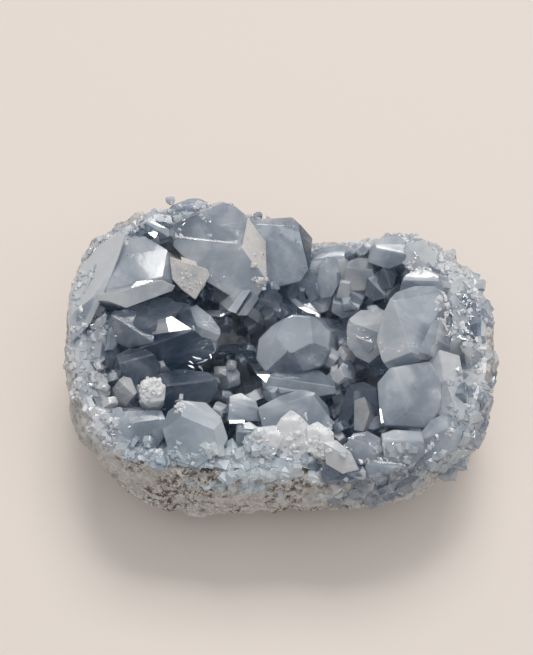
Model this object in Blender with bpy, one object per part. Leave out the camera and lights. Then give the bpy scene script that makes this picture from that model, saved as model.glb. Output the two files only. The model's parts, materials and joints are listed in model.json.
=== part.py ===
"""A celestite geode: a pale rock rind, open at the top, whose hollow is lined with one crust of blue crystals.

Frame: origin at the centre of the flat bottom, +X to the right, +Y away from a viewer who stands in front, +Z up.
Lengths are in millimetres until a mesh is finished, and MM turns them into metres.
"""

import math
import random

import bmesh
import bpy
from mathutils import Matrix, Vector

MM = 0.001

# The geode's overall size and the rind's shape
HALF_LENGTH = 51.8
HALF_DEPTH = 36.5
PLAN_SQUARENESS = 2.7
GIRTH_HEIGHT = 26.0
WALL_SQUARENESS = 2.6
WALL_LEAN_IN = 0.42
WALL_REACH_DOWN = 29.0
FLOOR_HEIGHT = 13.0
BOWL_SQUARENESS = 2.1
LUMP_HEIGHT = 1.1

# How the geode differs from an even rounded box, by bearing in degrees from +X towards +Y, in millimetres
OUTLINE_SHIFTS = [
    (0, 0), (20, -1.5), (35, -3.5), (48, -5.5), (62, -7.5), (75, -6.5), (90, -4), (105, -2.5), (120, -1), (135, 1),
    (150, 2), (165, 0.5), (180, -1), (200, -1.5), (215, -0.7), (240, -1), (255, -1.8), (270, -2), (290, -2),
    (310, -2), (330, -1.6), (345, -1),
]
RIM_HEIGHTS = [
    (0, 45), (20, 46), (38, 46), (50, 42), (64, 35), (78, 37), (95, 43), (115, 48), (130, 50), (148, 49), (165, 46),
    (185, 45), (210, 43.5), (235, 42.5), (255, 42), (272, 42), (288, 40), (305, 38.5), (322, 40), (337, 42.5),
    (350, 45),
]
RIM_WIDTHS = [
    (0, 2.6), (30, 3.4), (60, 3.5), (90, 3.5), (120, 5), (150, 6.5), (175, 3.2), (200, 2.8), (240, 3.6), (270, 4.5),
    (300, 3), (330, 2.4),
]
BLEND_DEGREES = 9.0

# The crust that lines the hollow
GAP = 0.4
LINING = 3.5
OVERHANG = 1.0
ROOM_TOP = 75.0
ROOT_DEPTH = 1.5
LONGEST = 60.0

# The reference view: a viewer in front, looking down at the point AIM
VIEW_ELEVATION = 65.0
VIEW_DISTANCE = 340.0
AIM = Vector((0.0, 0.0, 40.0))
TO_VIEWER = Vector(
    (0.0, -math.cos(math.radians(VIEW_ELEVATION)), math.sin(math.radians(VIEW_ELEVATION)))
)
VIEW_RIGHT = Vector((1.0, 0.0, 0.0))
VIEW_UP = TO_VIEWER.cross(VIEW_RIGHT)

# Each large crystal: its name; its top, as millimetres to the right of and above AIM in the reference view and a
# height above the ground; the bearing and rise of its long axis; its outline in that view; and its end faces.
# An end face has the bearing on the view that it slopes down to, its slope from facing the viewer, and how far
# from the top it starts.
CRYSTALS = [
    ("giant", (-11, 24, 57), (-72, 56),
     [(-25, 28.6), (-12, 33.6), (-9.5, 32.8), (-6, 29.6), (-1.6, 24), (-2.3, 13), (-4.2, 11), (-6.6, 7.4), (-9.8, 7.4),
      (-16.4, 14.4), (-25, 19.6)],
     [(84, 36, 0), (264, 22, 0), (22, 54, 1.8), (318, 50, 10), (165, 26, 13)]),
    ("giant_shelf", (-21, 18, 54), (-80, 56),
     [(-26, 21), (-17, 18), (-16.4, 16.5), (-19.8, 10.6), (-23, 13), (-25.3, 15.5)],
     [(262, 12, 0)]),
    ("clear_left", (-32, 17, 52), (-40, 52),
     [(-44, 10.5), (-43.5, 16), (-40.5, 21), (-36.5, 24.5), (-30, 26), (-25.5, 22.5), (-24.5, 13.7), (-34, 9.6)],
     [(110, 24, 0), (280, 50, 2.4), (188, 30, 7), (20, 40, 5)]),
    ("left_ledge", (-30, 28, 51), (-60, 64),
     [(-36, 24), (-34, 28), (-29, 31.5), (-25, 31), (-25, 26), (-31, 23.5)],
     [(60, 20, 0), (240, 25, 0), (150, 40, 3)]),
    ("back_crest", (-20, 33, 51), (-85, 60),
     [(-28, 29), (-25.5, 33), (-20, 35.2), (-15, 33), (-13, 29), (-20, 26)],
     [(100, 30, 0), (280, 18, 0)]),
    ("tablet", (0, 24, 48), (-84, 60),
     [(-8, 29.6), (3.5, 30.2), (8.2, 25.2), (7.4, 18.5), (5, 15), (-3, 13), (-8, 18)],
     [(205, 10, 0), (12, 55, 6.2), (92, 60, 4.6)]),
    ("back_dome", (14, 20.5, 42), (-80, 62),
     [(6.5, 18), (8.5, 21.5), (11.5, 23.4), (15, 23.9), (18, 22.6), (20.8, 19), (18, 15), (9, 14)],
     [(95, 26, 0), (275, 14, 0), (10, 40, 4)]),
    ("back_block", (6, 15, 42), (-75, 48),
     [(2.4, 11), (3, 16), (5, 17.5), (9, 17), (9.8, 11), (7, 8.5), (3.6, 9)],
     [(250, 22, 0), (70, 34, 1), (0, 45, 3)]),
    ("back_tooth", (11.5, 17, 43), (-95, 52),
     [(8.6, 13), (9.5, 18.4), (11.5, 20.4), (13.8, 20), (14.8, 15.5), (12.6, 11), (10, 10.4)],
     [(255, 20, 0), (75, 40, 1), (340, 40, 2.4)]),
    ("back_brown", (18.6, 17.5, 44), (-110, 52),
     [(15, 14.2), (16, 19.4), (19, 20.7), (22, 19.4), (22.8, 16), (20, 12.4), (16.4, 12.2)],
     [(262, 28, 0), (85, 35, 1)]),
    ("throat_left", (-3, 9, 38), (-70, 50),
     [(-7.6, 7), (-6, 12), (-2, 14), (1.6, 11), (1, 6.4), (-3, 4.6)],
     [(70, 30, 0), (250, 24, 0), (160, 40, 2)]),
    ("throat_right", (7, 10.6, 37), (-85, 50),
     [(2.4, 9.8), (4.4, 13), (9, 13.4), (13.4, 11.4), (12, 7.6), (6, 6.6)],
     [(60, 34, 0), (265, 18, 0), (0, 44, 3)]),
    ("throat_back", (15.4, 9.4, 38), (-100, 50),
     [(12.4, 7.4), (13, 11.6), (17, 12.4), (19.6, 10), (18.4, 6.6), (15, 5.8)],
     [(80, 36, 0), (250, 22, 0)]),
    ("back_low", (17, 12, 39), (-105, 48),
     [(13.8, 10.4), (14.6, 13.8), (18, 14.4), (20.8, 12.4), (19.4, 9), (16, 8.3)],
     [(240, 24, 0), (50, 35, 1)]),
    ("back_spur", (22.6, 13.6, 43), (-120, 50),
     [(20, 11.4), (20.8, 15.6), (23.4, 17.6), (25.8, 15), (25, 11), (22, 10)],
     [(230, 30, 0), (40, 40, 0.6)]),
    ("back_dark", (25.2, 16.4, 45), (-115, 55),
     [(23, 14.5), (24.2, 18.2), (25.8, 18.4), (27.6, 16), (26.8, 13.4), (24, 12.8)],
     [(200, 35, 0), (20, 30, 0.4)]),
    ("right_crest", (25.6, 22.4, 49), (-100, 60),
     [(20.9, 19.5), (21.6, 23.2), (24.6, 25.8), (28.4, 26.1), (31, 23.6), (30, 19.5), (26, 17.8)],
     [(80, 26, 0), (255, 20, 0), (170, 42, 2.6)]),
    ("right_sugar_block", (32.4, 21.6, 49), (-125, 60),
     [(28.6, 19.4), (30, 24.2), (34, 25), (37.6, 22), (36.8, 18.2), (31.4, 17.2)],
     [(50, 26, 0), (230, 16, 0)]),
    ("right_shelf", (33, 15.6, 52), (-150, 55),
     [(27.6, 12.8), (29.4, 17), (33.6, 18.6), (38, 16.6), (38.6, 13), (33, 11)],
     [(100, 26, 0), (250, 18, 0)]),
    ("right_chisel", (29, 5, 55), (212, 64),
     [(22, 1.6), (23.4, 7), (27, 13), (31, 14.9), (35.6, 15), (38.4, 12.4), (38.4, 4), (36.4, -2), (29.4, -4.8),
      (25.4, -6), (23.2, -2.8)],
     [(196, 22, 0), (20, 14, 0), (345, 44, 5.2), (82, 36, 5), (262, 38, 6)]),
    ("right_clear", (18.6, 4, 47), (205, 62),
     [(15, 0.6), (15.8, 5.6), (18.2, 8.9), (24.5, 9.2), (25, -1), (20.2, -3.8), (17, -2.2)],
     [(236, 26, 0), (78, 38, 1.4), (176, 52, 1.8)]),
    ("right_block", (28.6, -10.6, 50), (220, 72),
     [(22.9, -8.6), (26, -5.2), (35.2, -3), (38, -8), (37.8, -14), (35.2, -18.9), (24.6, -18.6), (23.2, -14)],
     [(205, 12, 0), (15, 16, 0), (290, 30, 5)]),
    ("dark_oval", (19.4, -12.6, 42), (200, 72),
     [(12.9, -17.4), (14, -12.6), (16.4, -9), (19.6, -8.1), (22.7, -9.8), (23.6, -17), (21, -20.4), (15.2, -23.4)],
     [(176, 50, 2.2), (355, 14, 0), (80, 40, 2), (280, 30, 4)]),
    ("right_wall_upper", (38.6, -5.4, 49), (200, 80),
     [(35.2, -3), (38, -0.8), (42.6, -1.6), (43.6, -8), (40.4, -12.2), (36.6, -11)],
     [(190, 30, 0), (10, 20, 0)]),
    ("right_wall_lower", (41, -13, 46.5), (210, 82),
     [(37.2, -12), (39.2, -8.4), (43.6, -8), (45, -12), (43.6, -17.4), (40.4, -18.6), (37.6, -16)],
     [(200, 24, 0), (20, 26, 0.5)]),
    ("right_rim_block", (42.6, 5.6, 48), (200, 80),
     [(38.2, 0.6), (38.6, 10.8), (41.6, 12.4), (44.6, 8.6), (45.8, 2), (44.6, -1.6), (41, -1.4)],
     [(185, 18, 0), (20, 24, 0), (270, 35, 4)]),
    ("right_rim_upper", (39.6, 13.6, 48), (-120, 75),
     [(36, 11.4), (36.6, 16), (39.4, 17), (42, 14.4), (42.4, 11.6), (39.4, 10.4)],
     [(60, 28, 0), (220, 20, 0)]),
    ("front_round", (20.4, -23.2, 47), (-95, 80),
     [(15.4, -23.4), (17.4, -20.6), (21, -19.9), (24.1, -21.6), (24.5, -25), (22, -28), (17.2, -27.2)],
     [(70, 22, 0), (250, 22, 0), (340, 40, 2)]),
    ("front_block", (28.6, -22.6, 48), (-100, 82),
     [(24, -20.6), (27, -19.5), (33.8, -20), (34.6, -25), (31, -28.6), (25, -27.6)],
     [(90, 20, 0), (265, 24, 0)]),
    ("front_wedge", (37, -20.6, 46), (-110, 84),
     [(33.4, -20.4), (36, -17), (38.6, -15.9), (42, -17), (43.6, -20), (42, -24), (38, -27), (32, -28)],
     [(120, 24, 0), (290, 26, 0), (30, 35, 3)]),
    ("front_low", (25.4, -28.4, 44), (-95, 84),
     [(20.2, -28.4), (22, -26), (28, -25.6), (31, -27.6), (30, -30), (25, -31), (21, -30.6)],
     [(80, 24, 0), (270, 20, 0)]),
    ("front_dusk", (14.6, -29.6, 43.5), (-90, 84),
     [(9.6, -29), (13, -27.4), (18, -27.4), (20.4, -29), (19.4, -32), (14, -32.4), (10.4, -31.6)],
     [(60, 26, 0), (250, 18, 0)]),
    ("white_peak", (2.4, -17.6, 51), (-90, 80),
     [(-3.4, -20.4), (0.2, -17), (1.6, -14.9), (3.2, -15), (8.4, -18.6), (10.4, -24), (5, -25.8), (-2.4, -25)],
     [(95, 34, 0), (262, 30, 0), (190, 36, 1.4), (350, 36, 1.6)]),
    ("white_left", (-3.6, -21, 49), (-80, 82),
     [(-7.2, -21), (-5.4, -18.8), (-1, -18.4), (1, -22), (-1.4, -25.4), (-5.4, -24.4)],
     [(110, 30, 0), (250, 30, 0), (180, 40, 1.6)]),
    ("white_right", (11, -22.6, 48), (-100, 82),
     [(7, -18.6), (11.6, -19.6), (15.4, -23.6), (19.6, -29), (14, -29.6), (8, -26.4)],
     [(60, 32, 0), (240, 28, 0)]),
    ("white_low", (-9, -27, 43.5), (-85, 84),
     [(-14, -27.4), (-12.6, -24.4), (-8, -23.6), (-3, -26), (-4, -29.6), (-8.4, -30.4), (-12.6, -29.6)],
     [(80, 24, 0), (265, 20, 0)]),
    ("blue_dome", (5, -12.6, 45), (-80, 76),
     [(-5.2, -14.6), (0, -11.8), (5, -10.1), (8.6, -11), (11.6, -14), (12.6, -20), (5, -21), (-4, -19)],
     [(110, 30, 0), (272, 14, 0), (20, 38, 3.4)]),
    ("blue_cube", (-8.6, -14, 41), (-60, 70),
     [(-12.1, -17.8), (-11.7, -12), (-9, -11.1), (-5.4, -13), (-4.2, -18)],
     [(75, 22, 0), (255, 12, 0)]),
    ("blue_foot", (-8, -20.4, 44), (-70, 80),
     [(-10.4, -24), (-10.2, -18.4), (-7, -17.6), (-4.4, -19.6), (-5, -26), (-8.6, -27)],
     [(90, 30, 0), (260, 24, 0)]),
    ("centre_boulder", (2, 1, 46), (235, 62),
     [(-6.5, -3.2), (-5.6, 1.4), (-2, 5), (3, 7.6), (8, 7), (11.6, 3), (11.3, -2), (9.4, -5), (3, -6.8), (-3.6, -7)],
     [(50, 12, 0), (205, 32, 3.2), (268, 36, 4.4), (140, 40, 4), (330, 34, 6)]),
    ("centre_slab", (6.8, 8.2, 43), (-70, 50),
     [(3.6, 6.4), (4.6, 9.2), (7.6, 9.8), (9.8, 7.6), (9.2, 5.4), (5, 5)],
     [(262, 20, 0), (60, 40, 1)]),
    ("centre_step", (4, -8.4, 41), (-90, 76),
     [(-4.2, -8.2), (-1, -6.2), (9, -5.2), (13, -8), (13.6, -11.4), (5, -12.6), (-3.4, -11.6)],
     [(80, 40, 0), (265, 16, 0)]),
    ("centre_dark", (15, -6.6, 38), (-90, 70),
     [(11.8, -5.6), (13, -3.2), (16.8, -3), (18.6, -6), (17, -11), (13.4, -10.6)],
     [(200, 30, 0), (10, 34, 0)]),
    ("left_dark_giant", (-20.4, 4, 50), (-24, 50),
     [(-36, 7.6), (-34, 9.6), (-25, 12.4), (-20, 10.8), (-15.4, 7), (-13.1, 3), (-12.8, -1), (-15, -4.6), (-20, -5.4),
      (-27, -3.2), (-34, 2)],
     [(38, 36, 0), (132, 34, 0), (266, 34, 0.6), (200, 30, 7), (335, 46, 4)]),
    ("left_dark_blade", (-28, 6, 51), (-20, 52),
     [(-36, 8.9), (-24.8, 12.4), (-22.6, 9.6), (-26.8, 3.1), (-33, 4.6)],
     [(120, 34, 0), (300, 24, 0)]),
    ("left_dark_tip", (-17.6, 4.4, 50.5), (-30, 54),
     [(-20.8, 8.6), (-18.7, 9.8), (-15.2, 7.1), (-13.3, 4), (-14, 1), (-19.4, 2.6)],
     [(50, 28, 0), (262, 36, 0.8)]),
    ("left_split", (-42, 2, 47), (0, 80),
     [(-46, -2.4), (-45.6, 3), (-43.2, 6.8), (-40, 7.8), (-36.4, 2), (-39, -2.4), (-44, -4)],
     [(176, 26, 0), (350, 46, 0.4)]),
    ("left_rough", (-35.6, 4.4, 49), (-20, 74),
     [(-40.6, 6), (-39, 8.6), (-33, 8.4), (-29, 4), (-30, 0.6), (-35, 0.2), (-39.4, 2.4)],
     [(60, 22, 0), (235, 30, 0)]),
    ("left_smooth", (-33.4, -3, 46), (-20, 72),
     [(-38.4, -2), (-35, -0.2), (-31, -0.6), (-27.6, -4), (-27.8, -9), (-33, -9.8), (-37.2, -6.4)],
     [(100, 26, 0), (290, 26, 0)]),
    ("left_low", (-19.4, -8.6, 43), (-10, 60),
     [(-29, -6), (-22, -4.6), (-16, -5.8), (-13.4, -9), (-15, -13), (-19, -14.8), (-28, -13.4)],
     [(98, 34, 0), (275, 24, 0), (0, 50, 3.6)]),
    ("left_tan", (-36.6, -9.6, 44), (-30, 80),
     [(-39.6, -9.6), (-37, -7), (-35, -7.2), (-33.6, -11), (-36, -13.4), (-38.6, -12.2)],
     [(40, 30, 0), (230, 34, 0)]),
    ("frosted_ball", (-30, -10.6, 47), (-60, 78),
     [(-33.2, -10), (-32.4, -8), (-30.4, -7.2), (-28.2, -8), (-26.9, -10), (-27.2, -12.6), (-28.8, -14), (-31, -14.2),
      (-32.8, -12.6)],
     [(70, 16, 0), (250, 20, 0), (0, 40, 1.6), (90, 44, 1.6), (180, 40, 1.6), (270, 46, 1.8)]),
    ("frosted_bead", (-23.4, -14.4, 52), (-60, 80),
     [(-24.9, -14.4), (-24.2, -13), (-22.6, -13), (-21.9, -14.4), (-22.6, -15.8), (-24.2, -15.8)],
     [(60, 26, 0), (240, 26, 0)]),
    ("left_pillow", (-35.4, -18.6, 47), (-70, 80),
     [(-42.6, -18), (-41, -15.4), (-36, -14.8), (-28, -15), (-26, -19), (-29, -24), (-34, -25.6), (-39.4, -23)],
     [(100, 28, 0), (275, 20, 0), (180, 34, 4)]),
    ("front_dome", (-20, -18, 51), (-85, 80),
     [(-28, -19), (-26.6, -15), (-23, -12.6), (-17.6, -12.9), (-14, -16.4), (-12.4, -21), (-14, -24.6), (-20, -28),
      (-26, -26)],
     [(60, 24, 0), (255, 20, 0), (150, 36, 3.6), (350, 38, 4), (100, 46, 4)]),
    ("front_chip", (-28.6, -26.4, 44), (-85, 82),
     [(-31.6, -27.4), (-29.8, -24), (-26.4, -24.6), (-25.8, -27.6), (-28, -29.8)],
     [(90, 26, 0), (260, 24, 0)]),
    ("front_left_chip", (-40, -23.6, 44), (-80, 84),
     [(-43, -23.6), (-41, -21.4), (-38.4, -22), (-37.4, -26), (-40, -27.6)],
     [(80, 24, 0), (240, 24, 0)]),
    ("front_left_low", (-34, -26, 44), (-80, 84),
     [(-37.6, -26.4), (-36, -23.4), (-32, -23), (-30.4, -26), (-32, -29), (-36, -29)],
     [(100, 24, 0), (280, 22, 0)]),
    ("left_wall_high", (-43.6, -9.6, 44.5), (-20, 84),
     [(-45.6, -8), (-44, -5.6), (-41, -6.4), (-40, -11), (-42, -14), (-45, -13)],
     [(30, 24, 0), (210, 22, 0)]),
    ("left_wall_low", (-43, -17, 44), (-30, 84),
     [(-44.6, -16.6), (-43.6, -14), (-41, -14.8), (-40.4, -19.4), (-43, -20.6)],
     [(60, 26, 0), (240, 20, 0)]),
]

# Small crystals that fill the wall between the large ones
FILLERS = 60
FILLER_SIZE = (4.5, 8.0)
RIM_CRYSTALS = 54
RIM_CRYSTAL_SIZE = (2.8, 5.0)
SEED = 11


def by_bearing(table, bearing):
    """A smooth value round the geode: the table's values near a bearing, weighted by how near they are."""
    total, weights = 0.0, 0.0
    for degrees, value in table:
        apart = (math.degrees(bearing) - degrees + 180) % 360 - 180
        weight = math.exp(-((apart / BLEND_DEGREES) ** 2) / 2) + 1e-9
        total += weight * value
        weights += weight
    return total / weights


def plan_radius(bearing):
    """Distance from the axis to the widest outline: a rounded box, by the superellipse formula, and its shifts."""
    along = abs(math.cos(bearing)) / HALF_LENGTH
    across = abs(math.sin(bearing)) / HALF_DEPTH
    even = (along**PLAN_SQUARENESS + across**PLAN_SQUARENESS) ** (-1 / PLAN_SQUARENESS)
    return even + by_bearing(OUTLINE_SHIFTS, bearing)


def rim_height(bearing):
    """Height of the rim, with a small ripple."""
    return by_bearing(RIM_HEIGHTS, bearing) + 0.5 * math.sin(7 * bearing + 0.8) + 0.35 * math.sin(12 * bearing)


def wall_scale(bearing, height):
    """How wide the outside is at a height, as a share of the widest outline: a superellipse on its side."""
    if height > GIRTH_HEIGHT:
        share = (height - GIRTH_HEIGHT) / (rim_height(bearing) - GIRTH_HEIGHT) * WALL_LEAN_IN
    else:
        share = (GIRTH_HEIGHT - height) / WALL_REACH_DOWN
    return (1 - share**WALL_SQUARENESS) ** (1 / WALL_SQUARENESS)


def lump(bearing, height):
    """Broad lumps of the ground outside, as a few waves round it that shift with height."""
    waves = ((3, 0.09, 0.4, 0.45), (5, -0.13, 1.9, 0.3), (8, 0.21, 4.1, 0.2), (13, -0.3, 2.2, 0.12))
    return LUMP_HEIGHT * sum(
        size * math.sin(count * bearing + twist * height + start) for count, twist, start, size in waves
    )


def outer_point(bearing, height, grow=0.0):
    """A point of the outside wall, moved out by grow."""
    radius = plan_radius(bearing) * wall_scale(bearing, height) + lump(bearing, height) + grow
    return Vector((radius * math.cos(bearing), radius * math.sin(bearing), height))


def rim_inner_radius(bearing):
    return plan_radius(bearing) * wall_scale(bearing, rim_height(bearing)) - by_bearing(RIM_WIDTHS, bearing)


def bowl_point(bearing, share, inset=0.0):
    """A point of the hollow's wall, from its rim at share 0 to the middle of its floor at 1, moved in by inset."""
    top = rim_height(bearing)
    depth = top - FLOOR_HEIGHT - inset
    angle = share * math.pi / 2
    radius = (rim_inner_radius(bearing) - inset) * math.cos(angle) ** (2 / BOWL_SQUARENESS)
    height = top - depth * math.sin(angle) ** (2 / BOWL_SQUARENESS)
    return Vector((radius * math.cos(bearing), radius * math.sin(bearing), height))


def shell_rings(grow):
    """One function for each ring of the rind, from the bottom's centre, up the outside and down into the hollow."""
    rings = [lambda b, s=s: outer_point(b, 0.0, grow) * s for s in (0.4, 0.8, 1.0)]
    steps = 8
    for i in range(1, steps + 1):
        rings.append(
            lambda b, s=i / steps: outer_point(b, (rim_height(b) - 1.5) * (1 - math.cos(s * math.pi / 2)) ** 0.8, grow)
        )
    for share, drop in ((0.25, 0.3), (0.6, 0.0)):
        rings.append(lambda b, s=share, d=drop: rim_top_point(b, s, d, grow))
    for i in range(9):
        rings.append(lambda b, s=(i / 9) ** 0.9: bowl_point(b, s, -grow))
    return rings


def rim_top_point(bearing, share, drop, grow):
    """A point across the top of the rim, from its outer edge at share 0 to its inner edge at 1."""
    outer = plan_radius(bearing) * wall_scale(bearing, rim_height(bearing) - 1.5)
    radius = outer + (rim_inner_radius(bearing) - outer) * share
    return Vector((radius * math.cos(bearing), radius * math.sin(bearing), rim_height(bearing) + grow - drop))


def ring_mesh(name, rings, segments, floor, ceiling):
    """A closed surface: a UV sphere whose rings are moved to the given functions and its poles to two heights."""
    bm = bmesh.new()
    bmesh.ops.create_uvsphere(bm, u_segments=segments, v_segments=len(rings) + 1, radius=1.0)
    spacing = math.pi / (len(rings) + 1)
    for vertex in bm.verts:
        row = round(math.acos(max(-1.0, min(1.0, -vertex.co.z))) / spacing)
        if row == 0:
            vertex.co = (0.0, 0.0, floor)
        elif row == len(rings) + 1:
            vertex.co = (0.0, 0.0, ceiling)
        else:
            vertex.co = rings[row - 1](math.atan2(vertex.co.y, vertex.co.x))
    bmesh.ops.recalc_face_normals(bm, faces=bm.faces)
    return finished_mesh(name, bm)


def finished_mesh(name, bm):
    """Turns a bmesh in millimetres into a mesh in metres."""
    bmesh.ops.transform(bm, matrix=Matrix.Scale(MM, 4), verts=bm.verts)
    mesh = bpy.data.meshes.new(name)
    bm.to_mesh(mesh)
    bm.free()
    return mesh


def sight(across, up, height):
    """The point at a height that the reference view shows so far to the right of and above AIM."""
    eye = AIM + TO_VIEWER * VIEW_DISTANCE
    ray = AIM + VIEW_RIGHT * across + VIEW_UP * up - eye
    return eye + ray * ((height - eye.z) / ray.z)


def direction(bearing, rise):
    """A unit vector from a bearing in plan, 0 being +X, and a rise above the horizon, in degrees."""
    b, r = math.radians(bearing), math.radians(rise)
    return Vector((math.cos(b) * math.cos(r), math.sin(b) * math.cos(r), math.sin(r)))


def inside_hollow(point, inset=0.0):
    """True if a point is clear of the rind, by more than inset inside the hollow or above the rim."""
    bearing = math.atan2(point.y, point.x)
    if point.z > rim_height(bearing):
        return True
    radius = math.hypot(point.x, point.y)
    share_out = min(radius / (rim_inner_radius(bearing) - inset), 1.0)
    depth = rim_height(bearing) - FLOOR_HEIGHT - inset
    share_down = (rim_height(bearing) - point.z) / depth
    return share_out**BOWL_SQUARENESS + share_down**BOWL_SQUARENESS < 1.0


def root_length(top, axis):
    """How far back along its axis a crystal runs before it is rooted in the rind."""
    length = 3.0
    while length < LONGEST and inside_hollow(top - axis * length):
        length += 0.5
    return length + ROOT_DEPTH


def crystal_mesh(name, planes, centre):
    """A cube cut by planes, each given by a point and the way it faces: a convex crystal with flat faces."""
    bm = bmesh.new()
    bmesh.ops.create_cube(bm, size=2 * LONGEST, matrix=Matrix.Translation(centre))
    for point, normal in planes:
        cut = bmesh.ops.bisect_plane(
            bm, geom=bm.verts[:] + bm.edges[:] + bm.faces[:], plane_co=point, plane_no=normal, clear_outer=True
        )
        edges = [e for e in cut["geom_cut"] if isinstance(e, bmesh.types.BMEdge)]
        if edges:
            bmesh.ops.edgeloop_fill(bm, edges=edges)
    bmesh.ops.recalc_face_normals(bm, faces=bm.faces)
    return finished_mesh(name, bm)


def traced_crystal(name, top, lean, outline, end_faces):
    """A prism with the outline that the reference view shows, running back along its axis into the rind."""
    across, up, height = top
    apex = sight(across, up, height)
    axis = direction(*lean)
    eye = AIM + TO_VIEWER * VIEW_DISTANCE
    depth = (apex - eye).dot(TO_VIEWER)
    corners = []
    for right, above in outline:
        ray = AIM + VIEW_RIGHT * right + VIEW_UP * above - eye
        corners.append(eye + ray * (depth / ray.dot(TO_VIEWER)))
    middle = sum(corners, Vector()) / len(corners)
    planes = []
    for first, second in zip(corners, corners[1:] + corners[:1]):
        normal = (second - first).cross(axis).normalized()
        if normal.dot(middle - first) > 0:
            normal.negate()
        planes.append((first, normal))
    for bearing, slope, back in end_faces:
        b, s = math.radians(bearing), math.radians(slope)
        sideways = VIEW_RIGHT * math.cos(b) + VIEW_UP * math.sin(b)
        planes.append((apex + sideways * back, TO_VIEWER * math.cos(s) + sideways * math.sin(s)))
    planes.append((apex - axis * root_length(apex, axis), -axis))
    return crystal_mesh(name, planes, apex)


def small_crystal(name, foot, aim, width, dice):
    """A small wedge-ended crystal that stands on a foot and leans towards a point, more or less."""
    axis = ((aim - foot).normalized() + 0.35 * Vector([dice.uniform(-1, 1) for _ in range(3)])).normalized()
    thick = width * dice.uniform(0.6, 0.95)
    apex = foot + axis * (LINING + width * dice.uniform(0.6, 1.1))
    side = axis.orthogonal().normalized()
    side.rotate(Matrix.Rotation(dice.uniform(0, math.tau), 3, axis))
    other = axis.cross(side)
    planes = [(foot - axis * 1.5, -axis), (apex - axis * 0.12 * width, axis)]
    for turn, reach in ((0, width), (180, width), (90, thick), (270, thick), (42, 1.1 * width), (222, 1.1 * width)):
        normal = side * math.cos(math.radians(turn)) + other * math.sin(math.radians(turn))
        planes.append((foot + normal * reach * dice.uniform(0.44, 0.52), normal))
    for turn, back in ((0, 0.0), (180, 0.0), (90, 0.25)):
        sideways = side * math.cos(math.radians(turn)) + other * math.sin(math.radians(turn))
        planes.append((apex + sideways * back * thick, (axis * 0.72 + sideways * 0.7).normalized()))
    return crystal_mesh(name, planes, apex)


def wall_crystals():
    """Small crystals scattered over the hollow's wall, and smaller ones in a row along its rim."""
    dice = random.Random(SEED)
    for i in range(FILLERS):
        foot = bowl_point(dice.uniform(0, math.tau), dice.uniform(0.05, 0.8) ** 1.2, -0.5)
        yield small_crystal(f"wall_{i}", foot, Vector((0, 0, 57)), dice.uniform(*FILLER_SIZE), dice)
    for i in range(RIM_CRYSTALS):
        bearing = math.tau * (i + dice.uniform(-0.3, 0.3)) / RIM_CRYSTALS
        foot = bowl_point(bearing, dice.uniform(0.02, 0.06), 0.8) - Vector((0, 0, 1.0))
        aim = foot * 0.6 + Vector((0, 0, 45))
        yield small_crystal(f"rim_{i}", foot, aim, dice.uniform(*RIM_CRYSTAL_SIZE), dice)


def material(name, colour, roughness):
    made = bpy.data.materials.new(name)
    made.use_nodes = True
    shader = made.node_tree.nodes["Principled BSDF"]
    shader.inputs["Base Color"].default_value = (*colour, 1.0)
    shader.inputs["Roughness"].default_value = roughness
    shader.inputs["Metallic"].default_value = 0.0
    return made


def add_object(name, mesh, collection, helper=False):
    made = bpy.data.objects.new(name, mesh)
    collection.objects.link(made)
    made.hide_render = helper
    if helper:
        made.display_type = "WIRE"
    return made


def add_collection(name):
    made = bpy.data.collections.new(name)
    bpy.context.scene.collection.children.link(made)
    return made


def boolean(target, name, operation, operand):
    """Adds a Boolean modifier whose operand is an object or a whole collection."""
    modifier = target.modifiers.new(name, "BOOLEAN")
    modifier.operation = operation
    modifier.solver = "EXACT"
    if isinstance(operand, bpy.types.Collection):
        modifier.operand_type = "COLLECTION"
        modifier.collection = operand
    else:
        modifier.object = operand


def keep_main_body(target):
    """Applies the modifiers and keeps the largest closed surface, which fills the sealed hollows inside it."""
    bpy.context.view_layer.update()
    graph = bpy.context.evaluated_depsgraph_get()
    mesh = bpy.data.meshes.new_from_object(target.evaluated_get(graph))
    bm = bmesh.new()
    bm.from_mesh(mesh)
    islands, left = [], set(bm.faces)
    while left:
        island, edge = set(), [left.pop()]
        while edge:
            face = edge.pop()
            island.add(face)
            near = {f for e in face.edges for f in e.link_faces if f in left}
            left -= near
            edge += near
        islands.append(island)
    main = max(islands, key=len)
    bmesh.ops.delete(bm, geom=[f for f in bm.faces if f not in main], context="FACES")
    bmesh.ops.remove_doubles(bm, verts=bm.verts, dist=0.002 * MM)
    bm.to_mesh(mesh)
    bm.free()
    target.modifiers.clear()
    target.data = mesh


def build_rind(collection):
    mesh = ring_mesh("rind", shell_rings(0.0), 48, 0.0, FLOOR_HEIGHT)
    mesh.materials.append(material("rind_rock", (0.62, 0.62, 0.58), 0.85))
    return add_object("rind", mesh, collection)


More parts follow.
